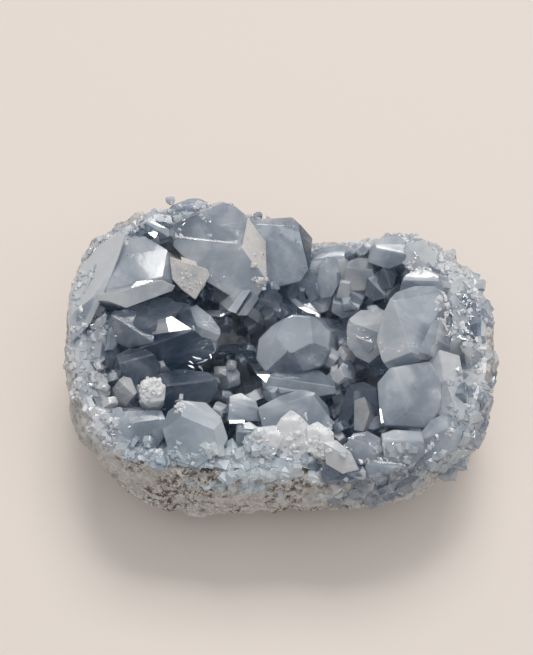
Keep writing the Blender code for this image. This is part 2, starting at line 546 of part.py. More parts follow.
def build_crust(collection, helpers):
    """The crystal crust: a lining with every crystal joined to it, trimmed to the room that the rind leaves."""
    outside = [lambda b, s=s: bowl_point(b, s, -1.2) for s in (0.84, 0.68, 0.5, 0.34, 0.18, 0.06)]
    inside = [lambda b, s=s: bowl_point(b, s, LINING) for s in (0.08, 0.2, 0.36, 0.52, 0.7, 0.86)]
    mesh = ring_mesh("crystal_crust", outside + inside, 40, FLOOR_HEIGHT - 1.2, FLOOR_HEIGHT + LINING)
    mesh.materials.append(material("celestite", (0.45, 0.55, 0.66), 0.15))
    crust = add_object("crystal_crust", mesh, collection)
    grown = add_collection("crystals_to_join")
    for row in CRYSTALS:
        add_object(f"grown_{row[0]}", traced_crystal(*row), grown, helper=True)
    for mesh in wall_crystals():
        add_object(f"grown_{mesh.name}", mesh, grown, helper=True)
    bowl = [lambda b, s=s: bowl_point(b, s, GAP) for s in (0.85, 0.7, 0.55, 0.42, 0.3, 0.18, 0.08, 0.0)]
    rim = [
        lambda b: rim_top_point(b, 0.6, 0.0, GAP),
        lambda b: rim_top_point(b, 0.25, 0.3, GAP),
        lambda b: outer_point(b, rim_height(b) - 1.5, GAP) + Vector((0, 0, 1.0)),
    ]
    outer = [
        lambda b: outer_point(b, rim_height(b) - 1.5, OVERHANG) + Vector((0, 0, 1.5)),
        lambda b: outer_point(b, rim_height(b) - 1.5, OVERHANG) + Vector((0, 0, ROOM_TOP - rim_height(b))),
    ]
    room_mesh = ring_mesh("room", bowl + rim + outer, 48, FLOOR_HEIGHT + GAP, ROOM_TOP)
    room = add_object("room_for_crystals", room_mesh, helpers, helper=True)
    boolean(crust, "join crystals", "UNION", grown)
    boolean(crust, "trim to room", "INTERSECT", room)
    keep_main_body(crust)
    return crust


def main():
    for old in list(bpy.data.objects):
        bpy.data.objects.remove(old)
    geode = add_collection("celestite_geode")
    helpers = add_collection("helpers")
    build_rind(geode)
    build_crust(geode, helpers)


main()
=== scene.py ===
"""A celestite geode: a bowl of pale rock, lined with one crust of wedge-ended blue crystals.

Shapes are worked out in millimetres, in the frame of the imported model, and each mesh is made in metres.
"""

import itertools
import json
import math
import random

import bpy
import numpy as np
from mathutils import Matrix, Vector
from mathutils.bvhtree import BVHTree

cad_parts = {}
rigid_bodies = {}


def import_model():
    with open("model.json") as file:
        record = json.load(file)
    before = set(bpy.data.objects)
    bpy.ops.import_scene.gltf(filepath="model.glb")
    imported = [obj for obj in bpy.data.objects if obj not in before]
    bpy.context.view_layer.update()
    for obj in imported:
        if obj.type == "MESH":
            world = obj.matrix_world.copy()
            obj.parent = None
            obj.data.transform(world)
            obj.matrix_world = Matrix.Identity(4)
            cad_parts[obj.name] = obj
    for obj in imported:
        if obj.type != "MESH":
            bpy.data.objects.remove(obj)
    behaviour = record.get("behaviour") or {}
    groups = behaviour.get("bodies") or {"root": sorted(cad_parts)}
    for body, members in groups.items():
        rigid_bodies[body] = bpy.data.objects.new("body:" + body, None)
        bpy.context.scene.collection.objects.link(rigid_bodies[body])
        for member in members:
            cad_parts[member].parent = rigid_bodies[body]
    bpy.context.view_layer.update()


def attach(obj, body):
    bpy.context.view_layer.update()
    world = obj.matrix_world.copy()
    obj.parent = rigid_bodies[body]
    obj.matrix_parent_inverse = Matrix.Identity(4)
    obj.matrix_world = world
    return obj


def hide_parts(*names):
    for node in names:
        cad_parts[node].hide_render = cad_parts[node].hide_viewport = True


bl_info = {
    "name": "Celestite Geode",
    "version": (1, 0, 0),
    "blender": (4, 5, 0),
    "location": "3D View > Sidebar > Geode",
    "description": "Builds a celestite geode with its crystals, rock rind, stage and camera",
    "category": "Add Mesh",
}

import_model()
MM = 0.001

# The rind, in the same numbers as in the part's source
HALF_LENGTH = 51.8
HALF_DEPTH = 36.5
PLAN_SQUARENESS = 2.7
GIRTH_HEIGHT = 26.0
WALL_SQUARENESS = 2.6
WALL_LEAN_IN = 0.42
WALL_REACH_DOWN = 29.0
FLOOR_HEIGHT = 13.0
BOWL_SQUARENESS = 2.1
LUMP_HEIGHT = 1.1
OUTLINE_SHIFTS = [
    (0, 0), (20, -1.5), (35, -3.5), (48, -5.5), (62, -7.5), (75, -6.5), (90, -4), (105, -2.5), (120, -1),
    (135, 1), (150, 2), (165, 0.5), (180, -1), (200, -1.5), (215, -0.7), (240, -1), (255, -1.8),
    (270, -2), (290, -2), (310, -2), (330, -1.6), (345, -1),
]
RIM_HEIGHTS = [
    (0, 45), (20, 46), (38, 46), (50, 42), (64, 35), (78, 37), (95, 43), (115, 48), (130, 50), (148, 49),
    (165, 46), (185, 45), (210, 43.5), (235, 42.5), (255, 42), (272, 42), (288, 40), (305, 38.5),
    (322, 40), (337, 42.5), (350, 45),
]
RIM_WIDTHS = [
    (0, 2.6), (30, 3.4), (60, 3.5), (90, 3.5), (120, 5), (150, 6.5), (175, 3.2), (200, 2.8), (240, 3.6),
    (270, 4.5), (300, 3), (330, 2.4),
]
BLEND_DEGREES = 9.0  # how far a value of these tables spreads round the geode
EDGE_DROP = 1.5  # from the top of the rim down to where the outer wall ends

# The crust: its gap to the rock, the thickness of its base, how far it may stand out over the rind, the top of
# the room for crystals, how deep they are rooted, and the longest of them
GAP = 0.4
LINING = 3.5
OVERHANG = 1.0
ROOM_TOP = 75.0
ROOT_DEPTH = 1.5
LONGEST = 60.0
CRUST_COLUMNS = 96
BACK_SINK = 1.2  # how far the back of the lining lies beyond the hollow's wall, before the room cuts it off

# The reference view: a viewer in front, looking down at the point AIM. The camera stands FRAMING beside it.
VIEW_ELEVATION = 65.0
VIEW_DISTANCE = 340.0
AIM = np.array((0.0, 0.0, 40.0))
TO_VIEWER = np.array(
    (0.0, -math.cos(math.radians(VIEW_ELEVATION)), math.sin(math.radians(VIEW_ELEVATION)))
)
VIEW_RIGHT = np.array((1.0, 0.0, 0.0))
VIEW_UP = np.cross(TO_VIEWER, VIEW_RIGHT)
EYE = AIM + TO_VIEWER * VIEW_DISTANCE
FRAMING = (-2.96, 4.15)
FOCAL_PIXELS = 1435.0
FRAME_HEIGHT_PIXELS = 655.0

# Finishes: how milky, how frosted, how dark and how brown a crystal is
FINISHES = {
    "clear": (0.38, 0.08, 0.06, 0.0),
    "dusk": (0.42, 0.05, 0.26, 0.0),
    "pale": (0.62, 0.12, 0.0, 0.0),
    "soft": (0.50, 0.10, 0.0, 0.0),
    "slate": (0.22, 0.06, 0.50, 0.0),
    "deep": (0.50, 0.10, 0.10, 0.05),
    "milky": (0.85, 0.35, 0.0, 0.0),
    "white": (1.0, 0.66, 0.0, 0.0),
    "beige": (0.75, 0.60, 0.0, 0.7),
    "sugar": (0.95, 0.60, 0.0, 0.05),
    "brown": (0.45, 0.30, 0.12, 0.35),
    "tan": (0.60, 0.20, 0.10, 0.50),
    "mirror": (0.50, 0.0, 0.0, 0.0),
    "lining": (0.90, 0.35, 0.0, 0.05),
}

# Each large crystal: its name; its top, as millimetres to the right of and above AIM in the reference view and
# a height above the ground; the bearing and rise of its long axis; its outline in that view; its end faces, each
# with the bearing on the view that it slopes down to, its slope from facing the viewer, and how far from the
# top it starts; its finish; how rounded its edges are, in millimetres; and how many growth steps it has.
CRYSTALS = [
    ("giant", (-11, 24, 57), (-72, 56),
     [(-25, 28.6), (-12, 33.6), (-9.5, 32.8), (-6, 29.6), (-1.6, 24), (-2.3, 13), (-4.2, 11),
      (-6.6, 7.4), (-9.8, 7.4), (-16.4, 14.4), (-25, 19.6)],
     [(84, 36, 0), (264, 22, 0), (22, 54, 1.8), (318, 50, 10), (165, 26, 13)], "soft", 0.25, 3),
    ("giant_shelf", (-21, 18, 54), (-80, 56),
     [(-26, 21), (-17, 18), (-16.4, 16.5), (-19.8, 10.6), (-23, 13), (-25.3, 15.5)],
     [(262, 12, 0)], "beige", 0.15, 2),
    ("clear_left", (-32, 17, 52), (-40, 52),
     [(-44, 10.5), (-43.5, 16), (-40.5, 21), (-36.5, 24.5), (-30, 26), (-25.5, 22.5), (-24.5, 13.7),
      (-34, 9.6)],
     [(110, 24, 0), (280, 50, 2.4), (188, 30, 7), (20, 40, 5)], "pale", 0.2, 3),
    ("left_ledge", (-30, 28, 51), (-60, 64),
     [(-36, 24), (-34, 28), (-29, 31.5), (-25, 31), (-25, 26), (-31, 23.5)],
     [(60, 20, 0), (240, 25, 0), (150, 40, 3)], "soft", 0.2, 2),
    ("back_crest", (-20, 33, 51), (-85, 60),
     [(-28, 29), (-25.5, 33), (-20, 35.2), (-15, 33), (-13, 29), (-20, 26)],
     [(100, 30, 0), (280, 18, 0)], "soft", 0.5, 2),
    ("tablet", (0, 24, 48), (-84, 60),
     [(-8, 29.6), (3.5, 30.2), (8.2, 25.2), (7.4, 18.5), (5, 15), (-3, 13), (-8, 18)],
     [(205, 10, 0), (12, 55, 6.2), (92, 60, 4.6)], "soft", 0.15, 1),
    ("back_dome", (14, 20.5, 42), (-80, 62),
     [(6.5, 18), (8.5, 21.5), (11.5, 23.4), (15, 23.9), (18, 22.6), (20.8, 19), (18, 15), (9, 14)],
     [(95, 26, 0), (275, 14, 0), (10, 40, 4)], "pale", 1.8, 0),
    ("back_block", (6, 15, 42), (-75, 48),
     [(2.4, 11), (3, 16), (5, 17.5), (9, 17), (9.8, 11), (7, 8.5), (3.6, 9)],
     [(250, 22, 0), (70, 34, 1), (0, 45, 3)], "clear", 0.15, 1),
    ("back_tooth", (11.5, 17, 43), (-95, 52),
     [(8.6, 13), (9.5, 18.4), (11.5, 20.4), (13.8, 20), (14.8, 15.5), (12.6, 11), (10, 10.4)],
     [(255, 20, 0), (75, 40, 1), (340, 40, 2.4)], "clear", 0.15, 1),
    ("back_brown", (18.6, 17.5, 44), (-110, 52),
     [(15, 14.2), (16, 19.4), (19, 20.7), (22, 19.4), (22.8, 16), (20, 12.4), (16.4, 12.2)],
     [(262, 28, 0), (85, 35, 1)], "brown", 0.2, 1),
    ("throat_left", (-3, 9, 38), (-70, 50),
     [(-7.6, 7), (-6, 12), (-2, 14), (1.6, 11), (1, 6.4), (-3, 4.6)],
     [(70, 30, 0), (250, 24, 0), (160, 40, 2)], "soft", 0.15, 1),
    ("throat_right", (7, 10.6, 37), (-85, 50),
     [(2.4, 9.8), (4.4, 13), (9, 13.4), (13.4, 11.4), (12, 7.6), (6, 6.6)],
     [(60, 34, 0), (265, 18, 0), (0, 44, 3)], "soft", 0.15, 1),
    ("throat_back", (15.4, 9.4, 38), (-100, 50),
     [(12.4, 7.4), (13, 11.6), (17, 12.4), (19.6, 10), (18.4, 6.6), (15, 5.8)],
     [(80, 36, 0), (250, 22, 0)], "deep", 0.15, 1),
    ("back_low", (17, 12, 39), (-105, 48),
     [(13.8, 10.4), (14.6, 13.8), (18, 14.4), (20.8, 12.4), (19.4, 9), (16, 8.3)],
     [(240, 24, 0), (50, 35, 1)], "clear", 0.15, 1),
    ("back_spur", (22.6, 13.6, 43), (-120, 50),
     [(20, 11.4), (20.8, 15.6), (23.4, 17.6), (25.8, 15), (25, 11), (22, 10)],
     [(230, 30, 0), (40, 40, 0.6)], "clear", 0.12, 1),
    ("back_dark", (25.2, 16.4, 45), (-115, 55),
     [(23, 14.5), (24.2, 18.2), (25.8, 18.4), (27.6, 16), (26.8, 13.4), (24, 12.8)],
     [(200, 35, 0), (20, 30, 0.4)], "slate", 0.12, 0),
    ("right_crest", (25.6, 22.4, 49), (-100, 60),
     [(20.9, 19.5), (21.6, 23.2), (24.6, 25.8), (28.4, 26.1), (31, 23.6), (30, 19.5), (26, 17.8)],
     [(80, 26, 0), (255, 20, 0), (170, 42, 2.6)], "pale", 0.7, 1),
    ("right_sugar_block", (32.4, 21.6, 49), (-125, 60),
     [(28.6, 19.4), (30, 24.2), (34, 25), (37.6, 22), (36.8, 18.2), (31.4, 17.2)],
     [(50, 26, 0), (230, 16, 0)], "milky", 0.3, 2),
    ("right_shelf", (33, 15.6, 52), (-150, 55),
     [(27.6, 12.8), (29.4, 17), (33.6, 18.6), (38, 16.6), (38.6, 13), (33, 11)],
     [(100, 26, 0), (250, 18, 0)], "pale", 0.3, 2),
    ("right_chisel", (29, 5, 55), (212, 64),
     [(22, 1.6), (23.4, 7), (27, 13), (31, 14.9), (35.6, 15), (38.4, 12.4), (38.4, 4), (36.4, -2),
      (29.4, -4.8), (25.4, -6), (23.2, -2.8)],
     [(196, 22, 0), (20, 14, 0), (345, 44, 5.2), (82, 36, 5), (262, 38, 6)], "soft", 0.6, 2),
    ("right_clear", (18.6, 4, 47), (205, 62),
     [(15, 0.6), (15.8, 5.6), (18.2, 8.9), (24.5, 9.2), (25, -1), (20.2, -3.8), (17, -2.2)],
     [(236, 26, 0), (78, 38, 1.4), (176, 52, 1.8)], "soft", 0.12, 4),
    ("right_block", (28.6, -10.6, 50), (220, 72),
     [(22.9, -8.6), (26, -5.2), (35.2, -3), (38, -8), (37.8, -14), (35.2, -18.9), (24.6, -18.6),
      (23.2, -14)],
     [(205, 12, 0), (15, 16, 0), (290, 30, 5)], "pale", 0.35, 2),
    ("dark_oval", (19.4, -12.6, 42), (200, 72),
     [(12.9, -17.4), (14, -12.6), (16.4, -9), (19.6, -8.1), (22.7, -9.8), (23.6, -17), (21, -20.4),
      (15.2, -23.4)],
     [(176, 50, 2.2), (355, 14, 0), (80, 40, 2), (280, 30, 4)], "slate", 0.2, 3),
    ("right_wall_upper", (38.6, -5.4, 49), (200, 80),
     [(35.2, -3), (38, -0.8), (42.6, -1.6), (43.6, -8), (40.4, -12.2), (36.6, -11)],
     [(190, 30, 0), (10, 20, 0)], "milky", 0.3, 3),
    ("right_wall_lower", (41, -13, 46.5), (210, 82),
     [(37.2, -12), (39.2, -8.4), (43.6, -8), (45, -12), (43.6, -17.4), (40.4, -18.6), (37.6, -16)],
     [(200, 24, 0), (20, 26, 0.5)], "milky", 0.3, 3),
    ("right_rim_block", (42.6, 5.6, 48), (200, 80),
     [(38.2, 0.6), (38.6, 10.8), (41.6, 12.4), (44.6, 8.6), (45.8, 2), (44.6, -1.6), (41, -1.4)],
     [(185, 18, 0), (20, 24, 0), (270, 35, 4)], "milky", 0.2, 4),
    ("right_rim_upper", (39.6, 13.6, 48), (-120, 75),
     [(36, 11.4), (36.6, 16), (39.4, 17), (42, 14.4), (42.4, 11.6), (39.4, 10.4)],
     [(60, 28, 0), (220, 20, 0)], "milky", 0.2, 3),
    ("front_round", (20.4, -23.2, 47), (-95, 80),
     [(15.4, -23.4), (17.4, -20.6), (21, -19.9), (24.1, -21.6), (24.5, -25), (22, -28), (17.2, -27.2)],
     [(70, 22, 0), (250, 22, 0), (340, 40, 2)], "soft", 0.6, 1),
    ("front_block", (28.6, -22.6, 48), (-100, 82),
     [(24, -20.6), (27, -19.5), (33.8, -20), (34.6, -25), (31, -28.6), (25, -27.6)],
     [(90, 20, 0), (265, 24, 0)], "soft", 0.25, 2),
    ("front_wedge", (37, -20.6, 46), (-110, 84),
     [(33.4, -20.4), (36, -17), (38.6, -15.9), (42, -17), (43.6, -20), (42, -24), (38, -27), (32, -28)],
     [(120, 24, 0), (290, 26, 0), (30, 35, 3)], "pale", 0.3, 3),
    ("front_low", (25.4, -28.4, 44), (-95, 84),
     [(20.2, -28.4), (22, -26), (28, -25.6), (31, -27.6), (30, -30), (25, -31), (21, -30.6)],
     [(80, 24, 0), (270, 20, 0)], "soft", 0.3, 2),
    ("front_dusk", (14.6, -29.6, 43.5), (-90, 84),
     [(9.6, -29), (13, -27.4), (18, -27.4), (20.4, -29), (19.4, -32), (14, -32.4), (10.4, -31.6)],
     [(60, 26, 0), (250, 18, 0)], "slate", 0.2, 2),
    ("white_peak", (2.4, -17.6, 51), (-90, 80),
     [(-3.4, -20.4), (0.2, -17), (1.6, -14.9), (3.2, -15), (7.4, -18.6), (8.4, -23), (5, -25.8),
      (-2.4, -25)],
     [(95, 34, 0), (262, 30, 0), (190, 36, 1.4), (350, 36, 1.6)], "white", 1.2, 2),
    ("white_left", (-3.6, -21, 49), (-80, 82),
     [(-7.2, -21), (-5.4, -18.8), (-1, -18.4), (1, -22), (-1.4, -25.4), (-5.4, -24.4)],
     [(110, 30, 0), (250, 30, 0), (180, 40, 1.6)], "white", 1.0, 1),
    ("white_middle", (9.4, -20.4, 49.5), (-100, 82),
     [(6.4, -18.8), (9, -17.6), (12.6, -20), (13.4, -23.6), (10, -26), (6.6, -24)],
     [(60, 26, 0), (240, 28, 0), (150, 36, 1.4), (330, 34, 1.6)], "white", 1.0, 2),
    ("white_right", (14, -25, 47.5), (-100, 82),
     [(10.4, -22.8), (13.4, -22), (16.8, -25), (19, -28.6), (15, -29.8), (11, -27.4)],
     [(60, 26, 0), (240, 28, 0), (330, 36, 2)], "milky", 0.8, 2),
    ("white_low", (-9, -27, 43.5), (-85, 84),
     [(-14, -27.4), (-12.6, -24.4), (-8, -23.6), (-3, -26), (-4, -29.6), (-8.4, -30.4), (-12.6, -29.6)],
     [(80, 24, 0), (265, 20, 0)], "milky", 0.3, 3),
    ("blue_dome", (5, -12.6, 45), (-80, 76),
     [(-5.2, -14.6), (0, -11.8), (5, -10.1), (8.6, -11), (11.6, -14), (12.6, -20), (5, -21), (-4, -19)],
     [(110, 30, 0), (272, 14, 0), (20, 38, 3.4)], "soft", 0.5, 2),
    ("blue_cube", (-8.6, -14, 41), (-60, 70),
     [(-12.1, -17.8), (-11.7, -12), (-9, -11.1), (-5.4, -13), (-4.2, -18)],
     [(75, 22, 0), (255, 12, 0)], "soft", 0.12, 1),
    ("blue_foot", (-8, -20.4, 44), (-70, 80),
     [(-10.4, -24), (-10.2, -18.4), (-7, -17.6), (-4.4, -19.6), (-5, -26), (-8.6, -27)],
     [(90, 30, 0), (260, 24, 0)], "soft", 0.2, 1),
    ("centre_boulder", (2, 1, 46), (235, 62),
     [(-6.5, -3.2), (-5.6, 1.4), (-2, 5), (3, 7.6), (8, 7), (11.6, 3), (11.3, -2), (9.4, -5), (3, -6.8),
      (-3.6, -7)],
     [(60, 9, 0), (205, 20, 2), (262, 24, 3), (140, 24, 2.6), (318, 22, 3.6), (20, 26, 4.4),
      (100, 30, 5)], "dusk", 1.2, 2),
    ("centre_slab", (6.8, 8.2, 43), (-70, 50),
     [(3.6, 6.4), (4.6, 9.2), (7.6, 9.8), (9.8, 7.6), (9.2, 5.4), (5, 5)],
     [(90, 23, 0), (60, 40, 1)], "clear", 0.05, 0),
    ("centre_step", (4, -8.4, 41), (-90, 76),
     [(-4.2, -8.2), (-1, -6.2), (9, -5.2), (13, -8), (13.6, -11.4), (5, -12.6), (-3.4, -11.6)],
     [(80, 40, 0), (265, 16, 0)], "soft", 0.12, 4),
    ("centre_dark", (15, -6.6, 38), (-90, 70),
     [(11.8, -5.6), (13, -3.2), (16.8, -3), (18.6, -6), (17, -11), (13.4, -10.6)],
     [(200, 30, 0), (10, 34, 0)], "deep", 0.12, 2),
    ("left_dark_giant", (-20.4, 4, 50), (-24, 50),
     [(-36, 7.6), (-34, 9.6), (-25, 12.4), (-20, 10.8), (-15.4, 7), (-13.1, 3), (-12.8, -1), (-15, -4.6),
      (-20, -5.4), (-27, -3.2), (-34, 2)],
     [(38, 36, 0), (132, 34, 0), (266, 34, 0.6), (200, 30, 7), (335, 46, 4)], "slate", 0.25, 2),
    ("left_dark_blade", (-28, 6, 51), (-20, 52),
     [(-36, 8.9), (-24.8, 12.4), (-22.6, 9.6), (-26.8, 3.1), (-33, 4.6)],
     [(120, 34, 0), (300, 24, 0)], "slate", 0.12, 1),
    ("left_dark_tip", (-17.6, 4.4, 50.5), (-30, 54),
     [(-20.8, 8.6), (-18.7, 9.8), (-15.2, 7.1), (-13.3, 4), (-14, 1), (-19.4, 2.6)],
     [(50, 28, 0), (262, 36, 0.8)], "dusk", 0.12, 1),
    ("left_split", (-42, 2, 47), (0, 80),
     [(-46, -2.4), (-45.6, 3), (-43.2, 6.8), (-40, 7.8), (-36.4, 2), (-39, -2.4), (-44, -4)],
     [(176, 26, 0), (350, 46, 0.4)], "dusk", 0.15, 3),
    ("left_rough", (-35.6, 4.4, 49), (-20, 74),
     [(-40.6, 6), (-39, 8.6), (-33, 8.4), (-29, 4), (-30, 0.6), (-35, 0.2), (-39.4, 2.4)],
     [(60, 22, 0), (235, 30, 0)], "slate", 0.1, 4),
    ("left_smooth", (-33.4, -3, 46), (-20, 72),
     [(-38.4, -2), (-35, -0.2), (-31, -0.6), (-27.6, -4), (-27.8, -9), (-33, -9.8), (-37.2, -6.4)],
     [(100, 26, 0), (290, 26, 0)], "slate", 0.2, 1),
    ("left_low", (-19.4, -8.6, 43), (-10, 60),
     [(-29, -6), (-22, -4.6), (-16, -5.8), (-13.4, -9), (-15, -13), (-19, -14.8), (-28, -13.4)],
     [(98, 34, 0), (275, 24, 0), (0, 50, 3.6)], "slate", 0.3, 2),
    ("left_tan", (-36.6, -9.6, 44), (-30, 80),
     [(-39.6, -9.6), (-37, -7), (-35, -7.2), (-33.6, -11), (-36, -13.4), (-38.6, -12.2)],
     [(40, 30, 0), (230, 34, 0)], "brown", 0.15, 1),
    ("frosted_ball", (-30, -10.6, 47), (-60, 78),
     [(-33.2, -10), (-32.4, -8), (-30.4, -7.2), (-28.2, -8), (-26.9, -10), (-27.2, -12.6), (-28.8, -14),
      (-31, -14.2), (-32.8, -12.6)],
     [(70, 16, 0), (250, 20, 0), (0, 40, 1.6), (90, 44, 1.6), (180, 40, 1.6),
      (270, 46, 1.8)], "sugar", 0.3, 0),
    ("frosted_bead", (-23.4, -14.4, 52), (-60, 80),
     [(-24.9, -14.4), (-24.2, -13), (-22.6, -13), (-21.9, -14.4), (-22.6, -15.8), (-24.2, -15.8)],
     [(60, 26, 0), (240, 26, 0)], "sugar", 0.3, 0),
    ("left_pillow", (-35.4, -18.6, 47), (-70, 80),
     [(-42.6, -18), (-41, -15.4), (-36, -14.8), (-28, -15), (-26, -19), (-29, -24), (-34, -25.6),
      (-39.4, -23)],
     [(100, 28, 0), (275, 20, 0), (180, 34, 4)], "soft", 0.4, 3),
    ("front_dome", (-20, -18, 51), (-85, 80),
     [(-28, -19), (-26.6, -15), (-23, -12.6), (-17.6, -12.9), (-14, -16.4), (-12.4, -21), (-14, -24.6),
      (-20, -28), (-26, -26)],
     [(60, 24, 0), (255, 20, 0), (150, 36, 3.6), (350, 38, 4), (100, 46, 4)], "pale", 1.0, 3),
    ("front_chip", (-28.6, -26.4, 44), (-85, 82),
     [(-31.6, -27.4), (-29.8, -24), (-26.4, -24.6), (-25.8, -27.6), (-28, -29.8)],
     [(90, 26, 0), (260, 24, 0)], "milky", 0.15, 1),
    ("front_left_chip", (-40, -23.6, 44), (-80, 84),
     [(-43, -23.6), (-41, -21.4), (-38.4, -22), (-37.4, -26), (-40, -27.6)],
     [(80, 24, 0), (240, 24, 0)], "milky", 0.15, 1),
    ("front_left_low", (-34, -26, 44), (-80, 84),
     [(-37.6, -26.4), (-36, -23.4), (-32, -23), (-30.4, -26), (-32, -29), (-36, -29)],
     [(100, 24, 0), (280, 22, 0)], "soft", 0.2, 2),
    ("left_wall_high", (-43.6, -9.6, 44.5), (-20, 84),
     [(-45.6, -8), (-44, -5.6), (-41, -6.4), (-40, -11), (-42, -14), (-45, -13)],
     [(30, 24, 0), (210, 22, 0)], "brown", 0.15, 3),
    ("left_wall_low", (-43, -17, 44), (-30, 84),
     [(-44.6, -16.6), (-43.6, -14), (-41, -14.8), (-40.4, -19.4), (-43, -20.6)],
     [(60, 26, 0), (240, 20, 0)], "milky", 0.15, 2),
]

# Small crystals, bands and blades on the large ones, in the same form
DETAILS = [
    ("back_bead", (-25.8, 34.7, 52), (-80, 70),
     [(-27, 34.3), (-26.6, 35.5), (-25.6, 36), (-24.7, 35.4), (-24.6, 34.2), (-25.7, 33.4)],
     [(90, 30, 0), (270, 30, 0)], "milky", 0.3, 0),
    ("giant_blade_upper", (-9, 11, 55), (-72, 56),
     [(-12.6, 8.6), (-8.4, 13), (-6.2, 13.2), (-10.6, 7.8)], [(30, 30, 0)], "pale", 0.1, 0),
    ("giant_blade_lower", (-7.4, 9.4, 54), (-72, 56),
     [(-10, 7.2), (-6, 12.4), (-4.6, 11.2), (-7.6, 7)], [(330, 34, 0)], "clear", 0.1, 0),
    ("clear_left_band", (-32, 12.6, 55), (-40, 52),
     [(-40.6, 12.2), (-28.2, 15.6), (-24.4, 14.2), (-24.9, 13), (-35.9, 8.9), (-41, 10.6)],
     [(290, 24, 0)], "milky", 0.1, 0),
    ("chisel_band", (35.8, 2, 55.6), (212, 64),
     [(33.2, -1.6), (34.2, 1.4), (36.4, 6.3), (38, 6), (37, 1.4), (35.4, -2.2)],
      [(350, 16, 0)], "pale", 0.2, 0),
    ("curtain", (-43, 14, 50.5), (-30, 66),
     [(-49.4, 6), (-48.8, 13), (-46, 19.6), (-42, 24.4), (-37, 27), (-35, 24.6), (-40, 15), (-42.4, 8)],
     [(150, 16, 0), (320, 20, 0)], "milky", 0.3, 3),
    ("curtain_low", (-46, 6, 48.5), (-20, 72),
     [(-49.4, 1), (-49.2, 8), (-44, 11.4), (-40.6, 9.6), (-44.6, 5.4), (-47, 0.4)],
     [(160, 20, 0), (330, 24, 0)], "pale", 0.2, 3),
    ("oval_middle", (19.4, -16, 44.5), (200, 72),
     [(17.2, -19.6), (17.6, -12.8), (20.4, -12.4), (21.6, -16), (19.8, -20.2)],
      [(200, 26, 0)], "tan", 0.1, 0),
]

# Patches of slivers that mirror the window: the corners of a box on the reference view, how many, and their reach
SPARKLES = [
    ((-21.5, -5.4), (-13.6, -2.2), 16, 1.7), ((-16.4, 15), (-12.4, 17.4), 4, 1.0),
    ((38, 1), (47, 12.5), 34, 1.6), ((-44, 2), (-32, 9), 10, 0.9), ((-17, -18), (-12.5, -12.8), 8, 0.7),
    ((-6, -25), (10, -16), 12, 0.8), ((16, 0), (22, 6), 6, 0.9), ((30, 18), (44, 25), 10, 0.9),
    ((-28, 28), (-20, 33), 6, 0.8), ((12, -26), (34, -18), 8, 0.8), ((-44, -26), (-34, -16), 8, 0.8),
]
SLIVER = np.array([(1, 0.1), (0.1, 0.26), (-1, -0.1), (-0.2, -0.2)])  # its outline, at a reach of 1
SLIVER_SHARE = (0.4, 0.9)  # of the reach
SLIVER_RISE = 0.12  # its middle above the face that it lies in
SLIVER_DEPTH = 3.0
SLIVER_LEAN = (-80, 74)
SLIVER_TURNS = (6, 2)  # how far a sliver strays from a perfect mirror, in degrees of bearing and slope

# Single faces that mirror the window: a name, a top, the lean of the long axis and an outline, as above
GLINTS = [
    ("glint_triangle", (-24.6, 5.4, 53.4), (-24, 50), [(-26.8, 6.5), (-25.2, 7.1), (-21, 3.9),
     (-26.8, 3.1)]),
    ("glint_plate", (7.2, 8, 46), (-70, 50), [(4.7, 8.9), (6.4, 9), (9.4, 7.4), (8.4, 6.8), (6.8, 7.7),
     (4.9, 8)]),
    ("glint_chip", (-3.8, -7.6, 45.4), (-80, 60), [(-5.4, -6.8), (-2.1, -6.9), (-3.2, -8.8)]),
    ("glint_thread", (-12.6, 7.3, 50), (-40, 52), [(-14.2, 6.8), (-11.2, 7.9), (-11, 8.2), (-14, 7.3)]),
    ("glint_bar", (-10, -18, 47), (-80, 70), [(-11.9, -17.6), (-8.3, -17.5), (-8.3, -18.3),
     (-11.9, -18.4)]),
    ("glint_rim", (-30, 26.4, 54), (-60, 60), [(-31.2, 26.6), (-29.6, 27.1), (-28.6, 26.6), (-29.4, 25.2)]),
    ("glint_shelf", (-33, 14.6, 55.5), (-60, 60), [(-36.4, 12.6), (-33.8, 15.2), (-29.8, 15.6),
     (-31, 13.8)]),
    ("glint_right", (37.3, 11.3, 53), (-120, 70), [(36.5, 11.8), (37.4, 12.3), (38.2, 11.2), (37.5, 10.2)]),
    ("glint_wall", (24.1, -17.5, 48.6), (220, 74), [(23.4, -14.6), (23.9, -14.6), (24.7, -18.3),
     (24.1, -18.4)]),
]
GLINT_LAMP = (60.0, 500.0, 1550.0)  # where the lamp stands that they mirror

# Seeds of the random draws: of the small crystals; of growth steps, companions, young crystals and slivers; of
# sugar; of the grains on the rim; and of the finishes of the crust's faces and of the grains'
SEED = 11
STEP_SEED = 5
SUGAR_SEED = 29
GRAIN_SEED = 41
FINISH_SEED = 3
GRAIN_FINISH_SEED = 8

# Small crystals that fill the wall between the large ones and lean towards FILLER_AIM, and a row along the rim
FILLERS = 60
FILLER_SIZE = (4.5, 8.0)
FILLER_AIM = (0, 0, 57)
WALL_FINISHES = ("deep", "soft", "clear", "pale")
RIM_CRYSTALS = 54
RIM_CRYSTAL_SIZE = (2.8, 5.0)
RIM_FINISHES = ("soft", "pale", "milky", "clear")

# Growth steps: how much smaller they are all over, as a share of the crystal, and how far they stand out of
# one face, as a share of the growth step. Companions at a large crystal's foot: their width, and how far their
# foot is below its top.
STEP_SHRINK = (0.03, 0.34)
STEP_RISE = (0.5, 1.3)
COMPANION_SIZE = (1.8, 4.2)
COMPANION_DROP = (5.5, 10)
FINE_EDGE = 0.08

